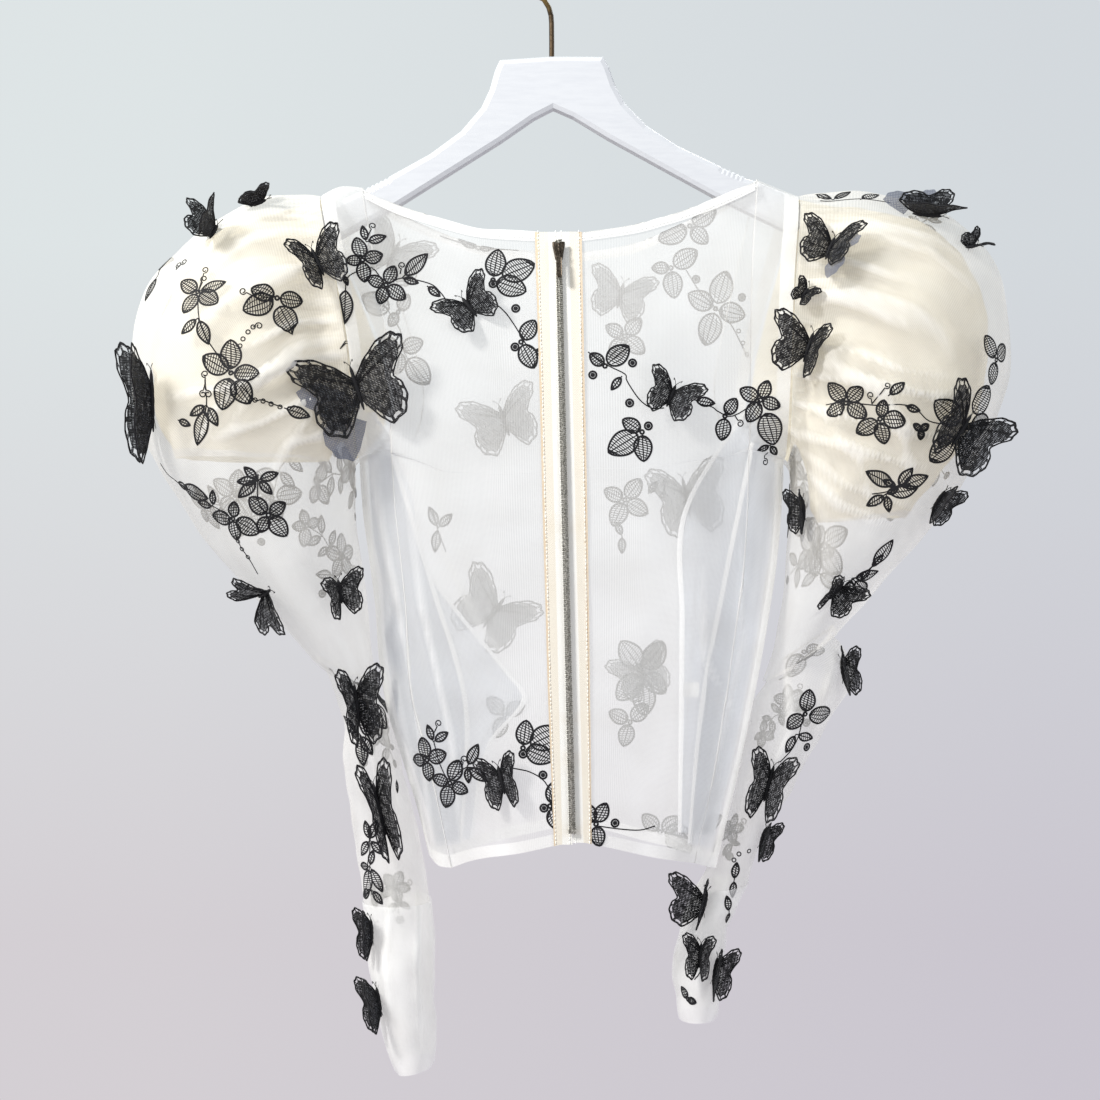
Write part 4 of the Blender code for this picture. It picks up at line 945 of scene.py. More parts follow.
class Sheet:
    """A sheet's grid, normals and search tree, for what lies on it."""

    def __init__(self, grid, closed, flat):
        self.grid = grid
        self.normals = grid_normals(grid, closed, flat)
        self.closed = closed
        self.flat = flat
        points = [p for row in grid for p in row]
        self.tree = BVHTree.FromPolygons(points, grid_faces(len(grid), len(grid[0]), closed))

    def offset(self, depth):
        return Sheet(moved(self.grid, self.normals, depth), self.closed, self.flat)

    def part(self, r0, r1, c0, c1):
        rows = self.grid[r0:r1]
        return Sheet([row[c0:c1] for row in rows], False, self.flat)


def soft_noise(grid, amount, size):
    """Small uneven waves, the same on every run."""
    def depth(r, c):
        return amount * noise.noise(grid[r][c] / size)
    return depth


def place_sheet(name, sheet, material, replaced=()):
    mesh = sheet_mesh(name, sheet.grid, sheet.closed, sheet.flat)
    item = link(name, mesh, material, replaced)
    return item


def out_points(grid, closed, flat, depth):
    return moved(grid, grid_normals(grid, closed, flat), depth)


def build_body():
    left = panel_grid(-1, -1, lambda drop: zip_x(drop) - ZIP_EDGE)
    right = panel_grid(1, -1, lambda drop: zip_x(drop) + ZIP_EDGE)
    front_left = panel_grid(-1, 1, zip_x)
    front_right = panel_grid(1, 1, zip_x)
    front = [a + list(reversed(b[:-1])) for a, b in zip(front_left, front_right)]
    coarse = {"back_left": left, "back_right": right, "front": front}
    for name, grid in coarse.items():
        fine = refine(grid, False, 8, 6)
        normals = grid_normals(fine, False, True)
        wavy = folded(moved(fine, normals, soft_noise(fine, 0.9 * MM, 0.045)), normals, name)
        fine = [[p if r > 0 and 0 < c < len(row) - 1 else q for c, (p, q) in enumerate(zip(row, old))]
                for r, (row, old) in enumerate(zip(wavy, fine))]
        sheet = Sheet(out_points(fine, False, True, OFFSET), False, True)
        SHEETS[name] = sheet
        place_sheet("organza_" + name, sheet, ORGANZA, [name])
    build_bands()
    build_bindings()
    return coarse


HEM_ROWS = 2
ARM_COLUMNS = 5
SIDE_COLUMNS = 3
ARM_ROWS = (len(ARM_TURNS) - 1) * 8


def build_bands():
    """Second layers at hem, armhole and side seams, just inside the panels."""
    for name in ("back_left", "back_right", "front"):
        sheet = SHEETS[name].offset(-0.6 * MM)
        height, width = len(sheet.grid), len(sheet.grid[0])
        place_sheet("hem_" + name, sheet.part(height - HEM_ROWS - 1, height, 0, width), ORGANZA_BAND)
        ends = [("", 0, ARM_COLUMNS, 0, SIDE_COLUMNS)]
        if name == "front":
            ends = [
                ("_left", 0, ARM_COLUMNS, 0, SIDE_COLUMNS),
                ("_right", width - ARM_COLUMNS, width, width - SIDE_COLUMNS, width),
            ]
        for tag, a0, a1, s0, s1 in ends:
            place_sheet("armhole_seam_" + name + tag, sheet.part(4, ARM_ROWS + 1, a0, a1), ORGANZA_BAND)
            place_sheet("side_seam_" + name + tag, sheet.part(ARM_ROWS, height - HEM_ROWS, s0, s1),
                        ORGANZA_BAND)


BINDING_ROWS = 17
BINDING_START = 18
BINDING_END = 5


def build_bindings():
    """Folded strips along the neck edges."""
    for name in ("back_left", "back_right", "front"):
        sheet = SHEETS[name].offset(WALL)
        width = len(sheet.grid[0])
        last = width - (BINDING_START if name == "front" else BINDING_END)
        strip = sheet.part(0, BINDING_ROWS, BINDING_START, last)
        place_sheet("neck_" + name, strip, ORGANZA_DOUBLE, ["binding_" + name])


PUFF_STEPS = 192
LOWER_STEPS = 84
LINING_STEPS = 192
RING_STEPS = 10


def sleeve_rows(side, rings, around, first, last, from_arm):
    turns = [360.0 * i / around for i in range(around)]
    rows = [[arm_loop_point(side, turn) for turn in turns]] if from_arm else []
    rows += [[ring_point(rings[i], turn) for turn in turns] for i in range(first, last + 1)]
    return rows


def creased(grid, side, first, per):
    """Raise the creases and gathers out of a smooth sleeve."""
    around = len(grid[0])
    for r, row in enumerate(grid):
        ring = first + r / per
        core = core_of(row)
        for c, point in enumerate(row):
            turn = 360.0 * c / around
            lift = crease_lift(CREASES, side, ring, turn)
            lift += crease_lift(FINE_CREASES, side, ring, turn, 1) * FINE_SCALE
            lift += gather_lift(ring, turn)
            row[c] = point + (point - core).normalized() * lift
    return grid


def tucked(first, above):
    """Two rings in place of the first, drawn in to lie inside the puff."""
    core = core_of(first)
    back_row = []
    rim_row = []
    for point, upper in zip(first, above):
        back = (upper - point).normalized()
        inward = core - point
        inward = (inward - back * inward.dot(back)).normalized() * TUCK_IN
        back_row.append(point + inward + back * TUCK_BACK)
        rim_row.append(point + inward - back * TUCK_FORWARD)
    return [back_row, rim_row]


def inside_armhole(side, loop):
    core = core_of(loop)
    out = Vector((side * LINING_OUT, 0.0, 0.0))
    return [point + (core - point).normalized() * LINING_IN + out for point in loop]


def build_sleeve(side, rings, split, lining):
    tag = "left" if side < 0 else "right"
    rows = sleeve_rows(side, rings, PUFF_STEPS, 0, split, True)
    fine = creased(refine(rows, True, RING_STEPS, 1), side, 0.0, RING_STEPS)
    normals = grid_normals(fine, True, False)
    uneven = soft_noise(fine, 1.6 * MM, 0.034)
    fine = moved(fine, normals, lambda r, c: OFFSET + uneven(r, c) * min(r / 20, 1.0))
    fine = folded(fine, normals, "puff_" + tag)
    SHEETS["puff_" + tag] = Sheet(fine, True, False)
    place_sheet("organza_puff_" + tag, SHEETS["puff_" + tag], ORGANZA_SLEEVE,
                ["sleeve_puff_" + tag])
    lower = sleeve_rows(side, rings, LOWER_STEPS, split, len(rings) - 1, False)
    above = sleeve_rows(side, rings, LOWER_STEPS, split - 1, split - 1, False)[0]
    lower[0:1] = tucked(lower[0], above)
    fine = refine(lower, True, RING_STEPS, 1)
    normals = grid_normals(fine, True, False)
    uneven = soft_noise(fine, 2.2 * MM, 0.020)
    fine = moved(fine, normals, lambda r, c: OFFSET + uneven(r, c) * min(r / 20, 1.0))
    fine = folded(fine, normals, "lower_" + tag)
    SHEETS["lower_" + tag] = Sheet(fine, True, False)
    place_sheet("organza_forearm_" + tag, SHEETS["lower_" + tag], ORGANZA_SLEEVE,
                ["sleeve_lower_" + tag])
    cuff = Sheet(moved(fine, normals, WALL + GAP)[-3 * RING_STEPS - 1:], True, False)
    SHEETS["cuff_" + tag] = cuff
    place_sheet("cuff_sheer_" + tag, cuff, ORGANZA_CUFF, ["cuff_" + tag])
    build_lining(side, tag, lining)


def build_lining(side, tag, lining):
    rows = sleeve_rows(side, lining, LINING_STEPS, 0, len(lining) - 1, True)
    rows[0] = inside_armhole(side, rows[0])
    fine = creased(refine(rows, True, RING_STEPS, 1), side, 0.0, RING_STEPS)
    normals = grid_normals(fine, True, False)
    crumple = soft_noise(fine, 3.4 * MM, 0.022)
    last = len(fine) - 1
    fine = moved(fine, normals, lambda r, c: OFFSET + (crumple(r, c) - 2.4 * MM) * min(r / 16, 1.0))
    fine = folded(fine, normals, "puff_" + tag)
    SHEETS["lining_" + tag] = Sheet(fine, True, False)
    place_sheet("lining_cream_" + tag, SHEETS["lining_" + tag], LINING,
                ["sleeve_lining_" + tag])
    hem = Sheet(moved(fine, grid_normals(fine, True, False), 0.5 * MM)[last - 2:], True, False)
    place_sheet("lining_hem_" + tag, hem, ORGANZA_DOUBLE)


Pleat = namedtuple("Pleat", "drop x")
PLEAT_LEFT = [
    Pleat(0.168, -0.137),
    Pleat(0.228, -0.108),
    Pleat(0.285, -0.099),
    Pleat(0.320, -0.077),
    Pleat(0.378, -0.030),
    Pleat(0.396, -0.019),
    Pleat(0.430, -0.047),
    Pleat(0.505, -0.062),
]
PLEAT_RIGHT = [
    Pleat(0.155, 0.165),
    Pleat(0.191, 0.135),
    Pleat(0.251, 0.104),
    Pleat(0.330, 0.103),
    Pleat(0.500, 0.101),
]
PLEAT_DEEP_LEFT = [
    Pleat(0.200, -0.124),
    Pleat(0.300, -0.094),
    Pleat(0.400, -0.066),
    Pleat(0.508, -0.070),
]
PLEAT_DEEP_RIGHT = [
    Pleat(0.190, 0.158),
    Pleat(0.300, 0.136),
    Pleat(0.400, 0.118),
    Pleat(0.508, 0.108),
]
PLEAT_ROWS = 48
PLEAT_COLUMNS = 36
PLEAT_EDGE = 0.0042

Wave = namedtuple("Wave", "place width high")
PLEAT_WAVES = [
    Wave(0.16, 0.045, 1.4),
    Wave(0.33, 0.030, 1.0),
    Wave(0.47, 0.055, 1.7),
    Wave(0.66, 0.030, 1.1),
    Wave(0.83, 0.040, 1.5),
]
WAVE_SWAY = 0.05


def pleat_wave(share, down):
    """Small uneven folds that run down a layer; heights are in millimetres."""
    lift = 0.0
    for wave in PLEAT_WAVES:
        sway = WAVE_SWAY * math.sin(4.0 * down + 20.0 * wave.place)
        away = (share - wave.place - sway) / wave.width
        lift += wave.high * MM * math.exp(-abs(away))
    return lift


def pleat_sheet(side, table, inner):
    """Folded-under layer behind the front, from the side seam to its folded edge."""
    rows = []
    first, last = table[0].drop, table[-1].drop
    front = SHEETS["front"].tree
    for r in range(PLEAT_ROWS + 1):
        drop = first + (last - first) * r / PLEAT_ROWS
        edge_x = column(table, "drop", "x", drop)
        seam_x = side_x(side, drop) - side * 0.006
        drop = min(drop, hem_drop(edge_x) - 0.004)
        line = []
        for c in range(PLEAT_COLUMNS + 1):
            x = seam_x + (edge_x - seam_x) * c / PLEAT_COLUMNS
            found = front.ray_cast(at_drop(x, 0.0, drop), Vector((0.0, 1.0, 0.0)))[0]
            y = found.y if found else 0.004
            wave = pleat_wave(c / PLEAT_COLUMNS, r / PLEAT_ROWS)
            line.append(at_drop(x, max(y - inner - wave, 0.001), drop))
        rows.append(line)
    return Sheet(rows, False, True)


def build_pleats():
    """Folded layers of the front, seen through the back as denser cloth."""
    for name, side, table, inner in (
        ("left", -1, PLEAT_LEFT, 2.2 * MM),
        ("right", 1, PLEAT_RIGHT, 2.2 * MM),
        ("deep_left", -1, PLEAT_DEEP_LEFT, 4.4 * MM),
        ("deep_right", 1, PLEAT_DEEP_RIGHT, 4.4 * MM),
    ):
        sheet = pleat_sheet(side, table, inner)
        place_sheet("pleat_" + name, sheet, ORGANZA_PLEAT)
        rows = []
        for row in sheet.grid:
            inward = (row[-2] - row[-1]).normalized() * PLEAT_EDGE
            rows.append([row[-1] + inward, row[-1] + inward / 2 - Vector((0, 0.5 * MM, 0)), row[-1]])
        fold = Sheet([[p - Vector((0.0, 0.3 * MM, 0.0)) for p in row] for row in rows], False, True)
        place_sheet("pleat_edge_" + name, fold, ORGANZA_FOLD)


# The zip: herringbone tapes, metal teeth, slider, pull and bottom stop.

TOOTH_PITCH = 1.45 * MM
TOOTH_REACH = 2.5 * MM
TOOTH_OVERLAP = 0.7 * MM
TOOTH_TALL = 0.95 * MM
TOOTH_THICK = 1.7 * MM
TOOTH_HALF = ((TOOTH_REACH + TOOTH_OVERLAP) / 2, TOOTH_TALL / 2, TOOTH_THICK / 2)
STOP_HALF = (2.9 * MM, 1.6 * MM, 1.0 * MM)
CHAIN_BELOW = 0.0090
SLIDER_DROP = 0.010
HINGE_ALONG = 0.0010
HINGE_UP = 0.0037


def zip_centre(coarse):
    """Tape rows of both sides, and the middle line between them."""
    tapes = []
    lines = []
    for name, side in (("back_left", -1), ("back_right", 1)):
        grid = out_points(coarse[name], False, True, WALL + GAP)
        rows = []
        for row in grid:
            inner = row[-1]
            centre = Vector((zip_x(SHOULDER_Z - inner.z) + side * SEAM_Y, inner.y, inner.z))
            rows.append([row[-2], inner, centre])
        tapes.append(rows)
        lines.append([row[-1] for row in rows])
    return tapes, [(a + b) / 2 for a, b in zip(*lines)]


def even_steps(points, pitch):
    """Places at even steps along a line, each with its direction."""
    fine = refine_line(points, False, 12)
    places = []
    left = 0.0
    for a, b in zip(fine, fine[1:]):
        span = (b - a).length
        while left <= span:
            places.append((a.lerp(b, left / span), (b - a).normalized()))
            left += pitch
        left -= span
    return places


class Shape:
    """Points, faces and face materials that grow into one mesh."""

    def __init__(self):
        self.points = []
        self.faces = []
        self.marks = []

    def add(self, points, faces, mark=0):
        start = len(self.points)
        self.points.extend(points)
        self.faces.extend(tuple(start + i for i in face) for face in faces)
        self.marks.extend([mark] * len(faces))

    def block(self, middle, axes, half, mark=0):
        """Bevelled block: half sizes along three axes."""
        corners = []
        for k, inset in ((-1.0, 0.72), (-0.6, 1.0), (0.6, 1.0), (1.0, 0.72)):
            for i, j in ((-1, -1), (1, -1), (1, 1), (-1, 1)):
                step = axes[0] * (i * half[0] * inset) + axes[1] * (j * half[1] * inset)
                corners.append(middle + step + axes[2] * (k * half[2]))
        faces = [(3, 2, 1, 0), (12, 13, 14, 15)]
        for ring in range(3):
            for i in range(4):
                a, b = ring * 4 + i, ring * 4 + (i + 1) % 4
                faces.append((a, b, b + 4, a + 4))
        self.add(corners, faces, mark)

    def tube(self, line, radii, sides=6, mark=0):
        """Round rod along a line, closed at both ends."""
        rings = []
        side = None
        for i, point in enumerate(line):
            way = (line[min(i + 1, len(line) - 1)] - line[max(i - 1, 0)]).normalized()
            if side is None:
                side = way.orthogonal().normalized()
            side = (side - way * side.dot(way)).normalized()
            other = way.cross(side)
            radius = radii[i] if isinstance(radii, list) else radii
            for k in range(sides):
                angle = 2 * math.pi * k / sides
                rings.append(point + (side * math.cos(angle) + other * math.sin(angle)) * radius)
        faces = [tuple(reversed(range(sides)))]
        for r in range(len(line) - 1):
            for k in range(sides):
                n = (k + 1) % sides
                faces.append((r * sides + k, r * sides + n, (r + 1) * sides + n, (r + 1) * sides + k))
        last = (len(line) - 1) * sides
        faces.append(tuple(last + k for k in range(sides)))
        self.add(rings, faces, mark)

    def mesh(self, name, smooth=True):
        mesh = bpy.data.meshes.new(name)
        mesh.from_pydata([tuple(p) for p in self.points], [], self.faces)
        mesh.polygons.foreach_set("material_index", self.marks)
        if smooth:
            mesh.shade_smooth()
        mesh.update()
        return mesh


def build_tapes(tapes):
    for rows, tag in zip(tapes, ("left", "right")):
        grid = refine(rows, False, 8, 8)
        sheet = Sheet(out_points(grid, False, True, 0.4 * MM), False, True)
        SHEETS["tape_" + tag] = sheet
        place_sheet("tape_" + tag, sheet, TAPE_WEAVE, ["zip_tape_" + tag])


def build_teeth(path):
    shape = Shape()
    stop = None
    for i, (point, way) in enumerate(even_steps(path, TOOTH_PITCH / 2)):
        out = Vector((0.0, way.z, -way.y)).normalized()
        across = way.cross(out)
        side = 1 if i % 2 else -1
        aside = across * (side * (TOOTH_REACH / 2 - TOOTH_OVERLAP / 2))
        middle = point + aside + out * (TOOTH_THICK / 2 + GAP)
        shape.block(middle, (across, way, out), TOOTH_HALF)
        stop = (point, way, out, across)
    point, way, out, across = stop
    shape.block(point + out * (TOOTH_THICK / 2 + GAP), (across, way, out), STOP_HALF)
    link("zip_teeth", shape.mesh("zip_teeth", False), TEETH, ["zip_chain"])


def slider_frame(path):
    start = path[0]
    along = (path[1] - path[0]).normalized()
    out = Vector((0.0, along.z, -along.y)).normalized()
    across = along.cross(out)
    return start + along * SLIDER_DROP + out * (CHAIN_THICK + 0.4 * MM), across, along, out


def plate(shape, place, outline, low, high, inset):
    """Flat plate with a bevelled rim, in a frame of across, along and out."""
    origin, across, along, out = place
    count = len(outline)
    middle_x = sum(x for x, _ in outline) / count
    middle_y = sum(y for _, y in outline) / count
    points = []
    quarter = (high - low) * 0.25
    levels = ((low, inset), (low + quarter, 0.0), (high - quarter, 0.0), (high, inset))
    for level, pull in levels:
        for x, y in outline:
            x, y = x + (middle_x - x) * pull, y + (middle_y - y) * pull
            points.append(origin + across * x + along * y + out * level)
    faces = [tuple(reversed(range(count))), tuple(3 * count + i for i in range(count))]
    for ring in range(3):
        for i in range(count):
            a, b = ring * count + i, ring * count + (i + 1) % count
            faces.append((a, b, b + count, a + count))
    shape.add(points, faces)


SLIDER_OUTLINE = [
    (-4.7, -7.6), (-3.0, -7.7), (0.0, -6.2), (3.0, -7.7), (4.7, -7.6), (4.8, -4.6),
    (3.6, 2.0), (2.9, 7.0), (1.6, 7.7), (-1.6, 7.7), (-2.9, 7.0), (-3.6, 2.0), (-4.8, -4.6),
]
PULL_OUTLINE = [
    (-0.9, 0.8), (0.9, 0.8), (1.2, 4.5), (2.0, 6.0), (2.1, 21.0), (1.4, 22.3), (-1.4, 22.3), (-2.1, 21.0),
    (-2.0, 6.0), (-1.2, 4.5),
]


ARCH_STEPS = 8
ARCH_REACH = 3.4 * MM
ARCH_FOOT = 1.9 * MM
ARCH_RISE = 3.3 * MM
ARCH_RADIUS = 0.75 * MM
RIB_PLACES = (-6.0 * MM, -4.5 * MM, -3.0 * MM)
RIB_RADII = [0.3 * MM, 0.6 * MM, 0.5 * MM]
RIB_OUT = 2.25 * MM
PULL_HALF = 0.6 * MM
BARREL_HALF = 1.5 * MM
BARREL_RADIUS = 1.0 * MM
PULL_RIM = 0.22 * MM


def build_slider(path):
    place = slider_frame(path)
    origin, across, along, out = place
    shape = Shape()
    outline = [(x * MM, y * MM) for x, y in SLIDER_OUTLINE]
    plate(shape, place, outline, 0.0, 1.0 * MM, 0.06)
    plate(shape, place, [(x * 0.92, y * 0.94) for x, y in outline], 1.1 * MM, 2.2 * MM, 0.10)
    arch = []
    for k in range(ARCH_STEPS + 1):
        angle = math.pi * k / ARCH_STEPS
        step = along * (HINGE_ALONG - math.cos(angle) * ARCH_REACH)
        arch.append(origin + step + out * (ARCH_FOOT + math.sin(angle) * ARCH_RISE))
    shape.tube(arch, ARCH_RADIUS, 8)
    shape.tube([origin + along * at + out * RIB_OUT for at in RIB_PLACES], RIB_RADII, 6)
    link("slider_bronze", shape.mesh("slider_bronze", False), BRONZE, ["zip_slider"])
    hinge = origin + along * HINGE_ALONG + out * HINGE_UP
    pull = Shape()
    outline = [(x * MM, y * MM) for x, y in PULL_OUTLINE]
    plate(pull, (hinge, across, along, out), outline, -PULL_HALF, PULL_HALF, 0.12)
    pull.tube([hinge - across * BARREL_HALF, hinge + across * BARREL_HALF], BARREL_RADIUS, 8)
    rim = [
        hinge + across * (x * 0.86) + along * (y * 0.94 + 0.6 * MM) + out * 0.62 * MM
        for x, y in outline[2:]
    ]
    pull.tube(rim + [rim[0]], PULL_RIM, 6)
    link("pull_bronze", pull.mesh("pull_bronze", False), BRONZE, ["zip_pull"], "zip_pull")


def build_zip(coarse):
    tapes, middle = zip_centre(coarse)
    build_tapes(tapes)
    lift = Vector((0.0, -(TAPE + GAP), 0.0))
    low = middle[-1] + (middle[-2] - middle[-1]).normalized() * CHAIN_BELOW
    path = [point + lift for point in middle[2:-1]] + [low + lift]
    build_teeth(path)
    build_slider(path)


# Stitches, size label, hanger and hook.

TAG_WIDE = 0.0135
TAG_TALL = 0.0110
TAG_ROWS = 8
TAG_COLUMNS = 12
TAG_CURL = 0.35 * MM
STITCH_PITCH = 3.0 * MM
STITCH_LONG = 2.1 * MM
STITCH_RADIUS = 0.22 * MM
STITCH_LIFT = 0.25 * MM
TAPE_STITCH_IN = 2


def edge_line(sheet, column):
    """Points and normals down one column of a sheet."""
    return [(row[column], line[column]) for row, line in zip(sheet.grid, sheet.normals)]


def sew_line(shape, line):
    """Short stitches, one after another, along points that carry their normals."""
    points = [p for p, _ in line]
    at = 0
    for point, way in even_steps(points, STITCH_PITCH):
        while at < len(line) - 1 and (line[at + 1][0] - point).length < (line[at][0] - point).length:
            at += 1
        middle = point + line[at][1] * STITCH_LIFT
        reach = way * (STITCH_LONG / 2)
        shape.tube([middle - reach, middle + line[at][1] * STITCH_RADIUS, middle + reach], STITCH_RADIUS, 4)


def build_stitches():
    """Rows of stitching on both zip tapes and along the neck bindings."""
    shape = Shape()
    for tag in ("left", "right"):
        sheet = SHEETS["tape_" + tag]
        last = len(sheet.grid[0]) - 1
        for column in (TAPE_STITCH_IN, last - TAPE_STITCH_IN):
            sew_line(shape, edge_line(sheet, column))
    for name in ("back_left", "back_right", "front"):
        sheet = SHEETS[name].offset(WALL)
        last = len(sheet.grid[0]) - (BINDING_START if name == "front" else BINDING_END)
        row = BINDING_ROWS - 3
        sew_line(shape, [(sheet.grid[row][c], sheet.normals[row][c]) for c in range(BINDING_START, last)])
    link("stitches", shape.mesh("stitches"), CREAM_THREAD)


def build_label():
    """Bare satin loop inside the right back."""
    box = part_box("size_tag")
    middle = (Vector(box[0]) + Vector(box[1])) / 2
    point = TREES["back_right"].find_nearest(middle)[0]
    normal = (middle - point).normalized()
    up = (Vector((0.0, 0.0, 1.0)) - normal * normal.z).normalized()
    across = up.cross(normal)
    rows = []
    for r in range(TAG_ROWS + 1):
        rise = 0.5 - r / TAG_ROWS
        line = []
        for c in range(TAG_COLUMNS + 1):
            share = c / TAG_COLUMNS - 0.5
            curl = TAG_CURL * math.cos(2 * math.pi * share)
            line.append(middle + across * (share * TAG_WIDE) + up * (rise * TAG_TALL) + normal * curl)
        rows.append(line)
    place_sheet("label_bare", Sheet(rows, False, True), SATIN, ["size_tag"])


def dress_hanger():
    for name, material in (("hanger", PAINT), ("hook", HOOK)):
        mesh = NODES[name].data
        mesh.materials.clear()
        mesh.materials.append(material)


# Studio, lights and camera.

STUDIO = [
    (0.0, -2.15), (1.6, -2.15), (2.5, -2.12), (3.0, -1.95), (3.25, -1.60), (3.35, -1.00), (3.35, 0.60),
    (3.25, 1.50), (2.90, 2.25), (2.10, 2.80), (1.00, 3.05), (0.0, 3.10),
]
STUDIO_SIDES = 96

Lamp = namedtuple("Lamp", "name place size power colour")
LAMPS = [
    Lamp("key", (-1.7, -1.2, 1.15), 0.5, 96.0, (1.0, 0.985, 0.96)),
    Lamp("fill", (1.6, -2.0, -0.2), 1.2, 13.0, (0.97, 0.985, 1.0)),
    Lamp("back", (0.6, 2.2, 0.6), 1.4, 12.0, (1.0, 1.0, 1.0)),
]


def build_studio():
    line = refine_line([Vector((r, 0.0, z)) for r, z in STUDIO], False, 4)
    points = []
    for p in line:
        for k in range(STUDIO_SIDES):
            angle = 2 * math.pi * k / STUDIO_SIDES
            points.append((p.x * math.cos(angle), p.x * math.sin(angle), p.z))
    mesh = bpy.data.meshes.new("studio")
    mesh.from_pydata(points, [], grid_faces(len(line), STUDIO_SIDES, True))
    mesh.materials.append(wall_material())
    mesh.shade_smooth()
    item = bpy.data.objects.new("studio", mesh)
    bpy.context.scene.collection.objects.link(item)


LAMP_TARGET = Vector((0.0, 0.0, -0.45))
SENSOR = 36.0
VIEW_END = 20.0


def build_lamps():
    for lamp in LAMPS:
        data = bpy.data.lights.new(lamp.name, "AREA")
        data.shape = "DISK"
        data.size = lamp.size
        data.energy = lamp.power
        data.color = lamp.colour
        item = bpy.data.objects.new(lamp.name, data)
        item.location = lamp.place
        item.rotation_euler = (LAMP_TARGET - Vector(lamp.place)).to_track_quat("-Z", "Y").to_euler()
        item.visible_camera = False
        bpy.context.scene.collection.objects.link(item)


def build_camera():
    data = bpy.data.cameras.new("photo_camera")
    data.sensor_width = SENSOR
    data.lens = SENSOR * abs(EYE.y) / PHOTO_WIDTH
    data.clip_end = VIEW_END
    item = bpy.data.objects.new("photo_camera", data)
    item.location = EYE
    item.rotation_euler = (math.radians(90), 0.0, 0.0)
    bpy.context.scene.collection.objects.link(item)
    bpy.context.scene.camera = item


# Raised lace butterflies: two wings, a stitched body and feelers.

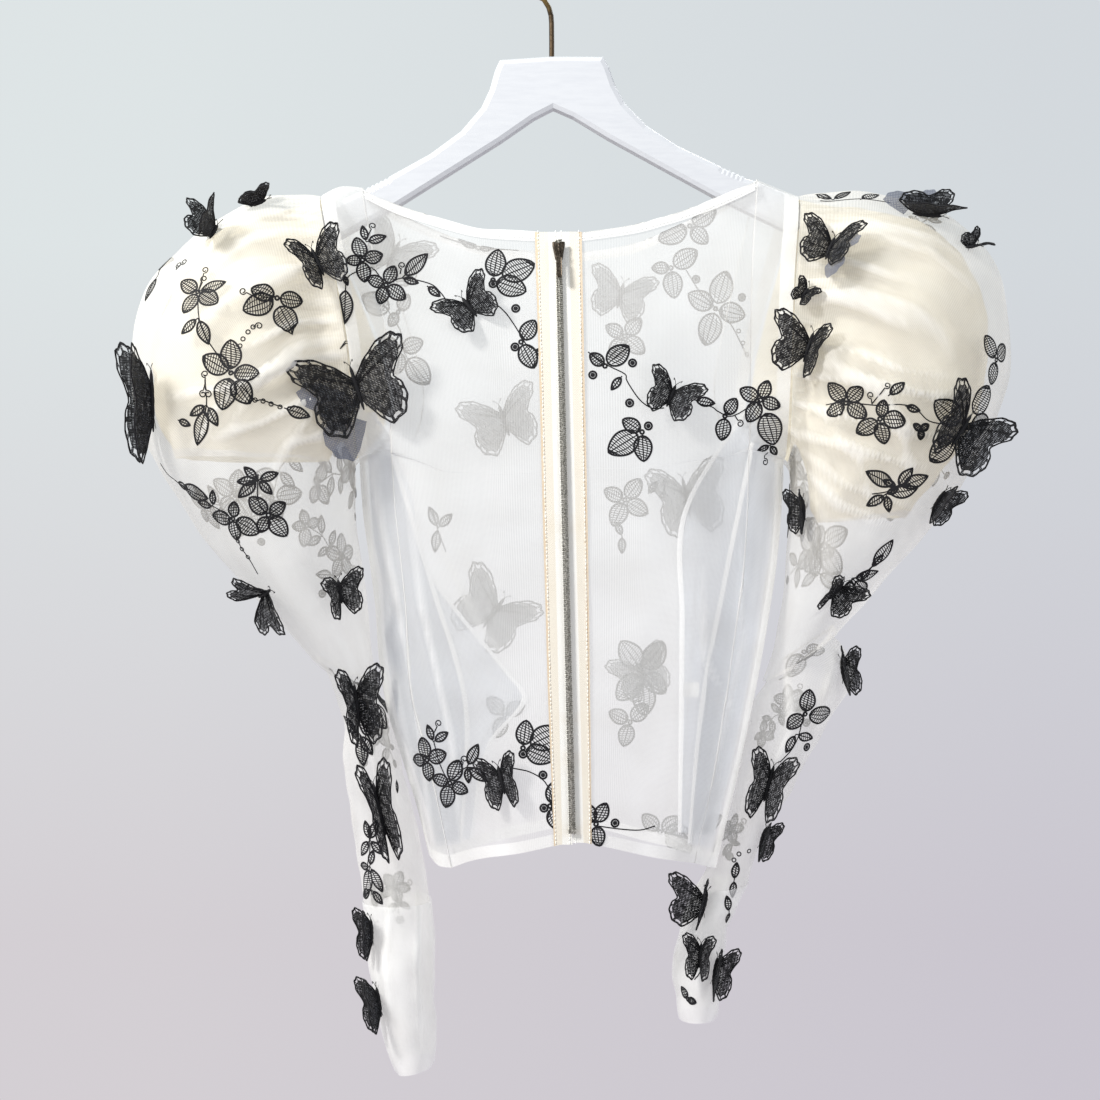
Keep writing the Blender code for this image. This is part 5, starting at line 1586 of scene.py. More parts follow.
Moth = namedtuple("Moth", "name cloth far x drop turn long_a long_b chord lift_a lift_b")
MOTHS = [
    Moth("moth_crown_left", "sleeve_puff_left", 0, -0.262, 0.029, 8, 0.036, 0.030, 0.026, 68, 62),
    Moth("moth_top_left", "sleeve_puff_left", 0, -0.228, 0.007, 70, 0.018, 0.016, 0.026, 62, 40),
    Moth("moth_outer_left", "sleeve_puff_left", 0, -0.309, 0.160, 6, 0.034, 0.026, 0.090, 66, 58),
    Moth("moth_armhole_left", "back_left", 0, -0.151, 0.150, -18, 0.046, 0.050, 0.066, 24, 30),
    Moth("moth_gather_left", "sleeve_puff_left", 0, -0.182, 0.052, -24, 0.027, 0.024, 0.044, 36, 40),
    Moth("moth_elbow_left", "sleeve_puff_left", 0, -0.222, 0.308, 48, 0.036, 0.032, 0.044, 38, 42),
    Moth("moth_inner_left", "sleeve_puff_left", 0, -0.166, 0.308, -20, 0.020, 0.026, 0.036, 42, 34),
    Moth("moth_fore_left", "sleeve_lower_left", 0, -0.152, 0.396, -8, 0.026, 0.026, 0.062, 40, 56),
    Moth("moth_hip_left", "sleeve_lower_left", 0, -0.134, 0.478, -14, 0.020, 0.024, 0.080, 52, 60),
    Moth("moth_cuff_high_left", "cuff_left", 0, -0.138, 0.574, 0, 0.017, 0.015, 0.040, 58, 56),
    Moth("moth_cuff_left", "cuff_left", 0, -0.132, 0.628, -16, 0.024, 0.018, 0.044, 52, 50),
    Moth("moth_crown_right", "sleeve_puff_right", 0, 0.292, 0.016, 80, 0.026, 0.022, 0.046, 60, 40),
    Moth("moth_brow_right", "sleeve_puff_right", 0, 0.326, 0.040, 60, 0.015, 0.014, 0.024, 58, 42),
    Moth("moth_cap_right", "sleeve_puff_right", 0, 0.218, 0.042, 14, 0.030, 0.028, 0.040, 36, 38),
    Moth("moth_seam_right", "sleeve_puff_right", 0, 0.198, 0.076, 40, 0.013, 0.012, 0.018, 42, 42),
    Moth("moth_armhole_right", "sleeve_puff_right", 0, 0.201, 0.118, 20, 0.018, 0.034, 0.044, 44, 34),
    Moth("moth_outer_right", "sleeve_puff_right", 0, 0.318, 0.183, 38, 0.036, 0.034, 0.058, 26, 24),
    Moth("moth_rim_right", "sleeve_puff_right", 0, 0.300, 0.236, 20, 0.018, 0.016, 0.034, 54, 56),
    Moth("moth_under_right", "sleeve_puff_right", 0, 0.199, 0.245, 4, 0.014, 0.016, 0.034, 52, 48),
    Moth("moth_elbow_high_right", "sleeve_puff_right", 0, 0.222, 0.306, 26, 0.022, 0.020, 0.034, 42, 44),
    Moth("moth_elbow_right", "sleeve_lower_right", 0, 0.226, 0.372, 4, 0.017, 0.015, 0.038, 58, 56),
    Moth("moth_fore_right", "sleeve_lower_right", 0, 0.170, 0.458, 16, 0.025, 0.023, 0.056, 44, 46),
    Moth("moth_fore_low_right", "sleeve_lower_right", 0, 0.163, 0.500, 6, 0.014, 0.013, 0.034, 56, 56),
    Moth("moth_hem_right", "cuff_right", 0, 0.121, 0.553, 4, 0.016, 0.032, 0.040, 60, 44),
    Moth("moth_cuff_high_right", "cuff_right", 0, 0.117, 0.592, 4, 0.020, 0.018, 0.036, 50, 52),
    Moth("moth_cuff_right", "cuff_right", 0, 0.126, 0.604, 12, 0.018, 0.024, 0.042, 52, 48),
    Moth("moth_back_left", "back_left", 0, -0.063, 0.087, -38, 0.026, 0.026, 0.036, 26, 28),
    Moth("moth_back_right", "back_right", 0, 0.093, 0.156, 24, 0.024, 0.024, 0.034, 28, 26),
    Moth("moth_back_low", "back_left", 0, -0.038, 0.455, -14, 0.017, 0.018, 0.042, 30, 32),
    Moth("moth_front_high_left", "front", 1, -0.124, 0.046, 30, 0.030, 0.030, 0.046, 22, 22),
    Moth("moth_front_left", "front", 1, -0.036, 0.175, -20, 0.034, 0.034, 0.050, 22, 22),
    Moth("moth_front_high_right", "front", 1, 0.054, 0.078, 14, 0.028, 0.028, 0.040, 22, 22),
    Moth("moth_front_right", "front", 1, 0.105, 0.235, -12, 0.034, 0.034, 0.060, 22, 22),
    Moth("moth_front_low_left", "front", 1, -0.045, 0.325, 36, 0.038, 0.034, 0.056, 22, 22),
    Moth("moth_front_low_right", "front", 1, 0.070, 0.372, -24, 0.026, 0.026, 0.040, 22, 22),
]
LIFT_TOP = 94
LIFT_STEP = 4
GREY_UNDER = {"moth_armhole_left": 1, "moth_cap_right": 0, "moth_crown_right": 1}

Wing = namedtuple("Wing", "out along")
WING = [
    Wing(0.00, 0.22),
    Wing(0.34, 0.66),
    Wing(0.74, 0.98),
    Wing(1.00, 0.90),
    Wing(0.98, 0.56),
    Wing(0.72, 0.10),
    Wing(0.84, -0.26),
    Wing(0.76, -0.74),
    Wing(0.46, -0.98),
    Wing(0.22, -0.66),
    Wing(0.00, -0.22),
]
WING_HEART = Wing(0.34, 0.04)
WING_STEPS = 5
WING_RINGS = [0.0, 0.22, 0.42, 0.60, 0.74, 0.86, 0.95, 1.0]
LACE_EDGE = 5
WING_BEND = 2.2 * MM
CORD_RADIUS = 0.62 * MM
VEIN_RADIUS = 0.34 * MM
VEIN_RADII = [VEIN_RADIUS * 1.5, VEIN_RADIUS * 1.3, VEIN_RADIUS, VEIN_RADIUS, VEIN_RADIUS, 0.2 * MM]
VEIN_ENDS = [
    Wing(0.86, 0.90), Wing(0.94, 0.68), Wing(0.70, 0.52),
    Wing(0.74, -0.30), Wing(0.66, -0.66), Wing(0.44, -0.84),
    Wing(0.46, 0.66), Wing(0.26, -0.58),
]
ARC_PARTS = [0.40, 0.66]


def spot(tree, x, drop, far):
    """Place and outward normal of a sheet where the eye meets it."""
    aim = (at_drop(x, 0.0, drop) - EYE).normalized()
    start, way = (EYE + aim * FAR_START, -aim) if far else (EYE, aim)
    found = tree.ray_cast(start, way)
    if found[0] is None:
        found = tree.find_nearest(at_drop(x, 0.0, drop))
    return found[:2]


def wing_frame(normal, turn):
    up = Vector((math.sin(math.radians(turn)), 0.0, math.cos(math.radians(turn))))
    along = (up - normal * up.dot(normal)).normalized()
    return along, along.cross(normal).normalized()


def best_reach(moth, root, axes, side, length, lift):
    """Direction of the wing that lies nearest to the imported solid."""
    along, across, normal = axes
    solid = TREES[moth.name]
    best = None
    for angle in range(lift, LIFT_TOP, LIFT_STEP):
        turn = math.radians(angle)
        reach = across * (side * math.cos(turn)) + normal * math.sin(turn)
        points = [root + reach * (w.out * length) + along * (w.along * moth.chord / 2) for w in WING]
        miss = sum(solid.find_nearest(p)[3] for p in points)
        if best is None or miss < best[0]:
            best = (miss, reach)
    return best[1]


TIP_DROOP = 0.55
FULL_WING = 0.030
RIPPLE_HIGH = 0.5 * MM
SCALLOP = 0.028
SCALLOP_STEPS = 4


class LaceWing:
    """One wing: a place for every outward and lengthways share of it."""

    def __init__(self, root, reach, along, length, half, normal):
        self.root, self.reach, self.along = root, reach, along
        self.length, self.half = length, half
        self.face = reach.cross(along).normalized()
        if self.face.dot(normal) < 0:
            self.face = -self.face

    def at(self, out, along, lift=0.0):
        bend = WING_BEND * (4 * out * (1 - out) - TIP_DROOP * out ** 4) * min(self.length / FULL_WING, 1.0)
        ripple = RIPPLE_HIGH * math.sin(7.0 * along + 5.0 * out) * out
        plain = self.root + self.reach * (out * self.length) + self.along * (along * self.half)
        return plain + self.face * (bend + ripple + lift)


def wing_edge():
    """Smooth outline of a wing, with a slightly scalloped rim."""
    line = refine_line([Vector((w.out, w.along, 0.0)) for w in WING], False, WING_STEPS)
    heart = Vector((WING_HEART.out, WING_HEART.along, 0.0))
    edge = []
    for i, p in enumerate(line):
        scallop = 1 + SCALLOP * math.cos(2 * math.pi * i / SCALLOP_STEPS) * min(p.x * 2, 1.0)
        edge.append(heart + (p - heart) * scallop)
    return edge


WING_EDGE = wing_edge()
ROOT_STEPS = 4
LACE_BAR = 3
RIM_LIFT = 0.2 * MM
ARC_LIFT = 0.3 * MM
ARC_RADIUS = VEIN_RADIUS * 0.7
VEIN_LIFT = 0.35 * MM
VEIN_STEPS = 5
VEIN_START = 0.04
VEIN_SPREAD = 0.16


def lace_wing(shape, uvs, wing):
    """Fill, open lace cells near the rim, cords and veins of one wing."""
    heart = Vector((WING_HEART.out, WING_HEART.along, 0.0))
    points = []
    flat = []
    for part in WING_RINGS:
        for p in WING_EDGE:
            q = heart.lerp(p, part)
            points.append(wing.at(q.x, q.y))
            flat.append((q.x * wing.length, q.y * wing.half))
    count = len(WING_EDGE)
    faces = []
    for r in range(len(WING_RINGS) - 1):
        for i in range(count):
            if r == LACE_EDGE and i % LACE_BAR != 0 and ROOT_STEPS < i < count - ROOT_STEPS - 1:
                continue
            a = r * count + i
            b = r * count + (i + 1) % count
            faces.append((a, b, b + count, a + count))
    uvs.append((len(shape.points), flat))
    shape.add(points, faces, 0)
    rim = [wing.at(p.x, p.y) for p in WING_EDGE]
    shape.tube(rim + [rim[0]], CORD_RADIUS, 5, 1)
    inner = [heart.lerp(p, WING_RINGS[LACE_EDGE]) for p in WING_EDGE]
    shape.tube([wing.at(p.x, p.y, RIM_LIFT) for p in inner], VEIN_RADIUS, 4, 1)
    for end in VEIN_ENDS:
        line = []
        for k in range(VEIN_STEPS + 1):
            part = k / VEIN_STEPS
            out = VEIN_START + (end.out - VEIN_START) * part
            along = end.along * (VEIN_SPREAD + (1 - VEIN_SPREAD) * part ** 0.8)
            line.append(wing.at(out, along, VEIN_LIFT))
        shape.tube(line, VEIN_RADII, 4, 1)
    for part in ARC_PARTS:
        arc = [heart.lerp(p, part) for p in WING_EDGE[ROOT_STEPS:-ROOT_STEPS]]
        shape.tube([wing.at(p.x, p.y, ARC_LIFT) for p in arc], ARC_RADIUS, 4, 1)


BODY_REACH = 0.50
BODY_STEPS = 10
BODY_LIFT = 1.2 * MM
HEAD_AT = 1.1
FEELER_STEPS = 8
FEELER_TURN = 3.4
FEELER_LONG = 8.0 * MM
FEELER_RADIUS = 0.30 * MM
LEG_OUT = 3.0 * MM
LEG_LIFTS = (0.8 * MM, 0.9 * MM)
LEG_RADIUS = 0.25 * MM


def moth_body(shape, root, along, across, normal, half):
    """Spindle body with rings of thread, two curled feelers and two legs."""
    reach = half * BODY_REACH
    line = []
    radii = []
    for k in range(BODY_STEPS + 1):
        part = k / BODY_STEPS
        line.append(root + along * (reach * (HEAD_AT - (HEAD_AT + 1.0) * part)) + normal * BODY_LIFT)
        radii.append((0.5 + 1.2 * math.sin(math.pi * part ** 0.8) + 0.25 * (k % 2)) * MM)
    shape.tube(line, radii, 8, 1)
    for side in (-1, 1):
        feeler = []
        for k in range(FEELER_STEPS + 1):
            part = k / FEELER_STEPS
            angle = part * part * FEELER_TURN
            step = along * (reach * HEAD_AT + part * FEELER_LONG * math.cos(angle * 0.35))
            aside = across * (side * (part * 3.2 + math.sin(angle) * 1.1) * MM)
            feeler.append(root + step + aside + normal * ((1.4 + 1.2 * part) * MM))
        shape.tube(feeler, FEELER_RADIUS, 4, 1)
    for side in (-1, 1):
        hip = root + normal * LEG_LIFTS[0] - along * (reach * 0.3)
        foot = root + across * (side * LEG_OUT) - along * (reach * 0.9) + normal * LEG_LIFTS[1]
        shape.tube([hip, foot], LEG_RADIUS, 4, 1)


NET_OUT = 0.96
NET_DOWN = 0.55
NET_UNDER = -1.6 * MM


def under_wing(moth, wing):
    """Grey net wing that lies under a butterfly."""
    rows = []
    heart = Vector((WING_HEART.out, WING_HEART.along, 0.0))
    for part in WING_RINGS:
        row = []
        for p in WING_EDGE:
            q = heart.lerp(p, part)
            row.append(wing.at(q.x * NET_OUT, q.y - NET_DOWN, NET_UNDER))
        rows.append(row)
    shape = Shape()
    count = len(WING_EDGE)
    faces = grid_faces(len(rows), count, False)
    shape.add([p for row in rows for p in row], faces)
    name = "net_" + moth.name[5:]
    mesh = shape.mesh(name)
    layer = mesh.uv_layers.new(name="metres")
    for loop in mesh.loops:
        p = mesh.vertices[loop.vertex_index].co - wing.root
        layer.data[loop.index].uv = (p.dot(wing.reach), p.dot(wing.along))
    item = link(name, mesh, TULLE)


def build_moth(moth):
    tree = TREES[moth.cloth]
    place_at, normal = spot(tree, moth.x, moth.drop, moth.far)
    along, across = wing_frame(normal, moth.turn)
    root = place_at + normal * (GAP + MOTH_THICK)
    shape = Shape()
    uvs = []
    wings = []
    for side, length, lift in ((1, moth.long_a, moth.lift_a), (-1, moth.long_b, moth.lift_b)):
        reach = best_reach(moth, root, (along, across, normal), side, length, lift)
        wing = LaceWing(root, reach, along, length, moth.chord / 2, normal)
        lace_wing(shape, uvs, wing)
        wings.append(wing)
    moth_body(shape, root, along, across, normal, moth.chord / 2)
    name = "lace_" + moth.name[5:]
    mesh = shape.mesh(name)
    flat = {}
    for start, values in uvs:
        flat.update((start + i, value) for i, value in enumerate(values))
    layer = mesh.uv_layers.new(name="metres")
    for loop in mesh.loops:
        layer.data[loop.index].uv = flat.get(loop.vertex_index, (0.0, 0.0))
    mesh.materials.append(LACE_OPEN if moth.far else LACE)
    link(name, mesh, BLACK, [moth.name])
    if moth.name in GREY_UNDER:
        under_wing(moth, wings[GREY_UNDER[moth.name]])


def build_moths():
    for moth in MOTHS:
        build_moth(moth)


# Embroidered sprays: petals, leaves, curls, berries and stems of thread.
# Places are in pixels of the photograph, cast onto the cloth from the camera.
# Far 1 puts a spray on the side that the camera sees through the cloth.

Spray = namedtuple("Spray", "kind base items far", defaults=(0,))
SPRAYS = {
    "puff_left": [
        Spray("leaf", (158, 276), [(165, 262), (150, 290)]),
        Spray("curl", (176, 270), [(179, 265), (184, 262)]),
        Spray("petal", (198, 292), [(188.5, 286), (189.7, 304), (209, 298)]),
        Spray("curl", (198, 292), [(204, 279), (205, 270)]),
        Spray("leaf", (198, 292), [(214, 286)]),
        Spray("stem", None, [(198, 298), (199, 317), (204, 332), (210, 344), (231, 373)]),
        Spray("leaf", (198, 318), [(188.5, 327), (204, 333)]),
        Spray("petal", (231, 373), [(231, 354), (215, 363.5), (247, 373), (242, 391.5), (225, 394)]),
        Spray("bead", None, [(243, 339), (248, 332), (253, 327), (240, 346)]),
        Spray("curl", (253, 327), [(259, 326)]),
        Spray("petal", (277, 298), [(257.5, 305), (286.6, 320), (262, 292), (292, 300)]),
        Spray("curl", (257, 298), [(243, 291)]),
        Spray("stem", None, [(240, 385), (255, 400), (262, 400), (282, 407)]),
        Spray("bead", None, [(255, 400), (263, 401), (271, 404), (280, 407)]),
        Spray("leaf", (284, 408), [(299, 413)]),
        Spray("leaf", (206.6, 405), [(197, 411), (212.7, 417), (200.6, 429)]),
        Spray("curl", (205, 384), [(205, 374), (203, 394), (208, 394)]),
        Spray("stem", None, [(205, 375), (206.6, 405), (201, 425)]),
        Spray("leaf", (178, 420), [(185, 423)]),
        Spray("stem", None, [(340, 349), (349, 338), (355.7, 329.7)]),
        Spray("stem", None, [(340, 349), (352, 348), (361.8, 345.4)]),
        Spray("stem", None, [(160.6, 463), (168, 474), (177.6, 482), (213, 506), (233, 518.7)]),
        Spray("leaf", (177.6, 482), [(183.6, 486), (195.7, 493)]),
        Spray("leaf", (213, 506), [(204, 504), (212.7, 497)]),
        Spray("petal", (233, 518.7), [(221, 517.5), (233.8, 509), (247.8, 527), (235, 531)]),
        Spray("petal", (268.4, 515), [(257.5, 505), (278, 508), (279, 527), (263, 525)]),
        Spray("leaf", (258, 480), [(250, 472.6), (269.7, 476), (246, 481), (266, 488), (246.6, 490)]),
        Spray("stem", None, [(258, 474), (258, 500), (266, 513)]),
        Spray("stem", None, [(235, 531), (240, 545), (250, 560), (258, 574)]),
        Spray("bead", None, [(238, 541), (242, 549), (248, 557)]),
    ],
    "back_left": [
        Spray("leaf", (333, 296), [(346, 281), (344.8, 308)]),
        Spray("petal", (362.5, 260), [(359, 247), (374, 257), (353, 260.6), (363.7, 272.7)]),
        Spray("leaf", (366, 242), [(364, 232.7), (377.5, 238.8)]),
        Spray("curl", (368, 236), [(372.7, 226)]),
        Spray("petal", (386, 284.8), [(375, 281), (390.8, 274), (382, 295.7), (397, 293)]),
        Spray("curl", (400, 274), [(402, 265.4)]),
        Spray("leaf", (402, 278), [(416.8, 264), (411.4, 281)]),
        Spray("stem", None, [
            (333, 296), (352, 274), (372, 268), (386, 284), (402, 278), (429.6, 283.6), (440, 292),
            (446, 300)]),
        Spray("leaf", (427, 286), [(434.5, 292)]),
        Spray("berry", None, [(493, 284), (515.7, 308.5), (515, 347)]),
        Spray("petal", (493, 280), [(496, 262.4), (519, 269.7), (512, 286.6)]),
        Spray("stem", None, [
            (480.6, 302.4), (494, 303.6), (504.8, 312), (513, 323), (520.6, 335), (528, 346),
            (544.8, 353)]),
        Spray("petal", (521, 342), [(529, 329.5), (528.6, 357)]),
        Spray("leaf", (533, 350), [(544.8, 353)]),
        Spray("leaf", (433.4, 741.7), [(430, 732), (442, 736.3)]),
        Spray("curl", (434, 733), [(438.8, 723.3)]),
        Spray("petal", (427, 760), [(424, 747), (438, 756), (418.6, 760), (428.4, 772)]),
        Spray("petal", (450, 783), [(440, 779.7), (455, 770), (460, 788.4), (447.5, 797)]),
        Spray("curl", (462, 766), [(464.4, 759)]),
        Spray("leaf", (467, 766.7), [(473.5, 753.7), (468, 776), (479, 775)]),
        Spray("stem", None, [(434, 742), (440, 764), (450, 780), (467, 767), (488, 775)]),
        Spray("petal", (523, 748), [(525, 732), (547, 737), (540, 755)]),
        Spray("berry", None, [(523, 754), (543, 775), (544, 808)]),
        Spray("stem", None, [(512, 768), (530, 772), (545, 782), (552, 800), (548, 818)]),
        Spray("petal", (550, 806), [(555, 791), (556, 820)]),
    ],
    "back_right": [
        Spray("petal", (596, 824), [(587, 812), (602, 812), (598, 837)]),
        Spray("berry", None, [(615, 823)]),
        Spray("stem", None, [(598, 826), (620, 829), (640, 830), (655, 826)]),
        Spray("stem", None, [
            (588, 352), (607.8, 365.4), (624.8, 374), (627, 381), (639, 399), (651.5, 408),
            (664, 408)]),
        Spray("petal", (605, 366), [(596.4, 359), (618.7, 354.5)]),
        Spray("leaf", (622, 376), [(615.8, 384)]),
        Spray("berry", None, [(632.5, 363), (592.8, 375), (629.6, 403)]),
        Spray("petal", (642, 432), [(630.9, 424.8), (622.4, 444), (643, 449)]),
        Spray("berry", None, [(648.3, 426)]),
        Spray("leaf", (694, 400), [(706, 402)]),
        Spray("stem", None, [(700, 404), (712, 407), (719, 412), (733, 416), (760, 400)]),
        Spray("petal", (725, 416), [(731.4, 406), (723, 430)]),
        Spray("curl", (735, 416), [(740, 423.6)]),
        Spray("petal", (760.6, 400), [
            (748.7, 393.8), (765, 388.9), (753, 412.5), (771.8, 403.8), (770.6, 430)]),
        Spray("leaf", (770, 445), [(763, 448.6), (774, 451)]),
        Spray("curl", (768, 452), [(765, 462)]),
    ],
    "puff_right": [
        Spray("petal", (846, 403), [(836.5, 391), (856, 393), (835, 410), (857.7, 411)]),
        Spray("curl", (872, 404), [(870.8, 395), (887.5, 385)]),
        Spray("leaf", (888, 396), [(898, 387.6)]),
        Spray("stem", None, [
            (826, 405), (845, 402), (872, 405), (905, 405), (918, 411), (929, 421), (948, 425)]),
        Spray("petal", (880, 419), [(882.5, 408), (866.4, 427.4), (882.5, 433.6), (896, 419.5)]),
        Spray("leaf", (905, 406), [(913.6, 408.8)]),
        Spray("petal", (921, 430), [(917, 427), (925, 427), (921, 435)]),
        Spray("petal", (964.6, 427.4), [(947, 411), (983, 399), (981, 425), (942, 450), (966, 450)]),
        Spray("leaf", (897, 487), [(906, 476), (916, 481), (888.8, 483), (878.8, 478)]),
        Spray("leaf", (886, 494), [(875, 501), (888, 504.5), (893, 491), (905, 491)]),
        Spray("stem", None, [(872, 494), (886, 492), (900, 487), (918, 486)]),
        Spray("leaf", (833, 200), [(823, 197), (843, 195)]),
        Spray("leaf", (860, 200), [(871, 196)]),
        Spray("stem", None, [(820, 201), (845, 200), (872, 200), (890, 203)]),
        Spray("petal", (996, 360), [(990, 346), (1002, 352), (993, 374)]),
        Spray("leaf", (871, 568), [(865, 575), (878, 560), (884, 552)]),
        Spray("petal", (822, 545), [(812, 530), (836, 536), (812, 560), (832, 562)], 1),
        Spray("leaf", (818, 572), [(808, 580), (830, 582)], 1),
        Spray("leaf", (852, 578), [(848, 590), (862, 588), (868, 575)]),
        Spray("stem", None, [(838, 596), (852, 580), (868, 570), (886, 550)]),
    ],
    "lower_right": [
        Spray("petal", (804, 652), [(794, 642), (816, 650), (795, 666)], 1),
        Spray("stem", None, [(795, 670), (786, 676), (779, 680)], 1),
        Spray("petal", (805, 714), [(807.8, 700), (794, 722), (822, 715)]),
        Spray("leaf", (796, 734), [(790, 744.5), (806, 737)]),
        Spray("berry", None, [(806.6, 747)]),
        Spray("stem", None, [(810, 690), (803, 718), (796, 742), (780, 762)]),
        Spray("bead", None, [(749, 851), (739, 854), (734, 860)]),
        Spray("leaf", (734, 880), [(735.7, 870), (733, 890)]),
    ],
    "cuff_right": [
        Spray("leaf", (729, 912), [(728, 903), (727.5, 918)]),
        Spray("stem", None, [(694.6, 979.5), (700, 972), (701, 963)]),
        Spray("petal", (688, 999), [(684, 992), (692, 1001)]),
    ],
    "lower_left": [
        Spray("leaf", (366, 630), [(372.7, 637.6)]),
        Spray("bead", None, [(376, 655), (376, 663), (374, 671), (371, 679)]),
        Spray("curl", (350, 694), [(341, 689.7), (348.8, 684)]),
        Spray("petal", (370.5, 702.7), [
            (358, 707), (370.5, 687), (383, 702.7), (381, 717), (368, 722)]),
        Spray("leaf", (360, 734), [(349, 724), (367, 746), (361.8, 752.6)]),
        Spray("stem", None, [(376, 655), (371, 690), (366, 730), (364, 760)]),
        Spray("leaf", (370, 840), [(367, 829), (374, 829), (377, 848), (364, 849)]),
        Spray("leaf", (370, 866), [(371.6, 857), (364, 866), (377, 881), (367, 884)]),
        Spray("leaf", (372, 890), [(365.4, 894), (378, 898)]),
        Spray("stem", None, [(368, 826), (370, 850), (368, 870), (372, 895)]),
        Spray("leaf", (418, 776), [(412.8, 785)]),
    ],
    "front": [
        Spray("petal", (398, 312), [(393, 320), (374, 303), (404, 302)], 1),
        Spray("petal", (400, 350), [(413, 345), (388.4, 344), (398, 364), (419, 372)], 1),
        Spray("stem", None, [(380, 300), (400, 330), (404, 352), (420, 380)], 1),
        Spray("petal", (690, 226), [(672, 234.5), (704.8, 216), (700, 236)], 1),
        Spray("petal", (671, 268), [(660, 268), (686, 258), (673, 285.4)], 1),
        Spray("berry", None, [(696, 279.4), (742, 297.5)], 1),
        Spray("petal", (715.7, 308.5), [(700, 300), (722, 286.6), (733, 313), (709.6, 330)], 1),
        Spray("bead", None, [(738.7, 331), (743, 343), (747, 354.5)], 1),
        Spray("stem", None, [(686, 270), (700, 292), (716, 308), (732, 326), (747, 355)], 1),
        Spray("petal", (624.8, 336), [(614, 330), (634, 326), (617, 349), (636, 346)], 1),
        Spray("petal", (624.8, 500), [(613, 494), (634, 488), (618, 515), (638, 508)], 1),
        Spray("leaf", (622, 536), [(618.7, 528), (622, 546)], 1),
        Spray("leaf", (648, 494), [(653, 487)], 1),
        Spray("curl", (668, 474), [(666, 483), (662.4, 495)], 1),
        Spray("leaf", (438, 528), [(433, 516), (446, 520), (436, 542)], 1),
        Spray("stem", None, [(432, 508), (438, 530), (446, 552)], 1),
        Spray("petal", (643, 672), [(630, 654), (655, 655), (628, 688), (656, 684), (644, 700)], 1),
        Spray("petal", (630, 722), [(618, 716), (640, 712), (626, 736)], 1),
        Spray("petal", (660, 832), [(650, 822), (672, 824), (655, 845), (680, 836)], 1),
        Spray("leaf", (700, 830), [(714, 822)], 1),
        Spray("petal", (505, 715), [(495, 705), (516, 708), (500, 728)], 1),
        Spray("leaf", (478, 250), [(470, 240), (490, 244)], 1),
        Spray("stem", None, [(440, 236), (465, 244), (490, 246), (520, 240)], 1),
    ],
}

# Sprays for the sides that the photograph does not show: place is a share
# round the sleeve and a share along it, with a turn and a size.

Hidden = namedtuple("Hidden", "cloth around along turn size")
HIDDEN = [
    Hidden("puff_left", 0.60, 0.22, 20, 1.00),
    Hidden("puff_left", 0.72, 0.40, -35, 1.10),
    Hidden("puff_left", 0.62, 0.56, 70, 0.90),
    Hidden("puff_left", 0.80, 0.66, 10, 1.05),
    Hidden("puff_left", 0.90, 0.34, 120, 0.85),
    Hidden("puff_right", 0.61, 0.20, -15, 1.05),
    Hidden("puff_right", 0.74, 0.36, 40, 1.00),
    Hidden("puff_right", 0.64, 0.54, 95, 1.10),
    Hidden("puff_right", 0.82, 0.60, -20, 0.90),
    Hidden("puff_right", 0.92, 0.30, 150, 0.85),
    Hidden("lower_left", 0.72, 0.30, 0, 0.70),
    Hidden("lower_left", 0.78, 0.62, 25, 0.65),
    Hidden("lower_right", 0.74, 0.26, -10, 0.70),
    Hidden("lower_right", 0.70, 0.55, 15, 0.65),
]

OUTLINE_WIDE = 1.60 * MM
STEM_WIDE = 0.95 * MM
HATCH_WIDE = 0.72 * MM
HATCH_PITCH = 1.70 * MM
THREAD_LOW = 0.22 * MM
THREAD_HIGH = 0.55 * MM
LONGEST_LEAF = 0.026
SHORTEST_LEAF = 7.0 * MM
LEAF_BACK = 0.52
LEAF_INSIDE = 0.96
HATCH_LEANS = (-0.18, 0.22)
RIB_STEPS = 6
LEAF_STRETCH = 1.50
PETAL_RATIO = 0.35
LEAF_RATIO = 0.23
CURL_RADIUS = 2.9 * MM
CURL_TURNS = 1.2
CURL_STEPS = 14
CURL_CLOSING = 0.62
LEAF_SKEW = 0.85
ROUND_TIP = 0.65
SHARP_TIP = 0.9
LEAST_HATCHES = 4
HATCH_ENDS = (0.04, 0.96)
PETAL_VEINS = (-0.5, 0.5)
BERRY_RADIUS = 2.8 * MM
BERRY_CORE = 0.42
BERRY_SEED = 1.2 * MM
HEART_RADIUS = 1.5 * MM
BEAD_RADIUS = 1.6 * MM
OUTLINE_STEPS = 18


def photo_point(px, py):
    """Point of the middle plane behind a pixel of the photograph."""
    x = EYE.x + (px - PHOTO_MIDDLE) * PHOTO_PIXEL
    return Vector((x, 0.0, EYE.z - (py - PHOTO_MIDDLE) * PHOTO_PIXEL))


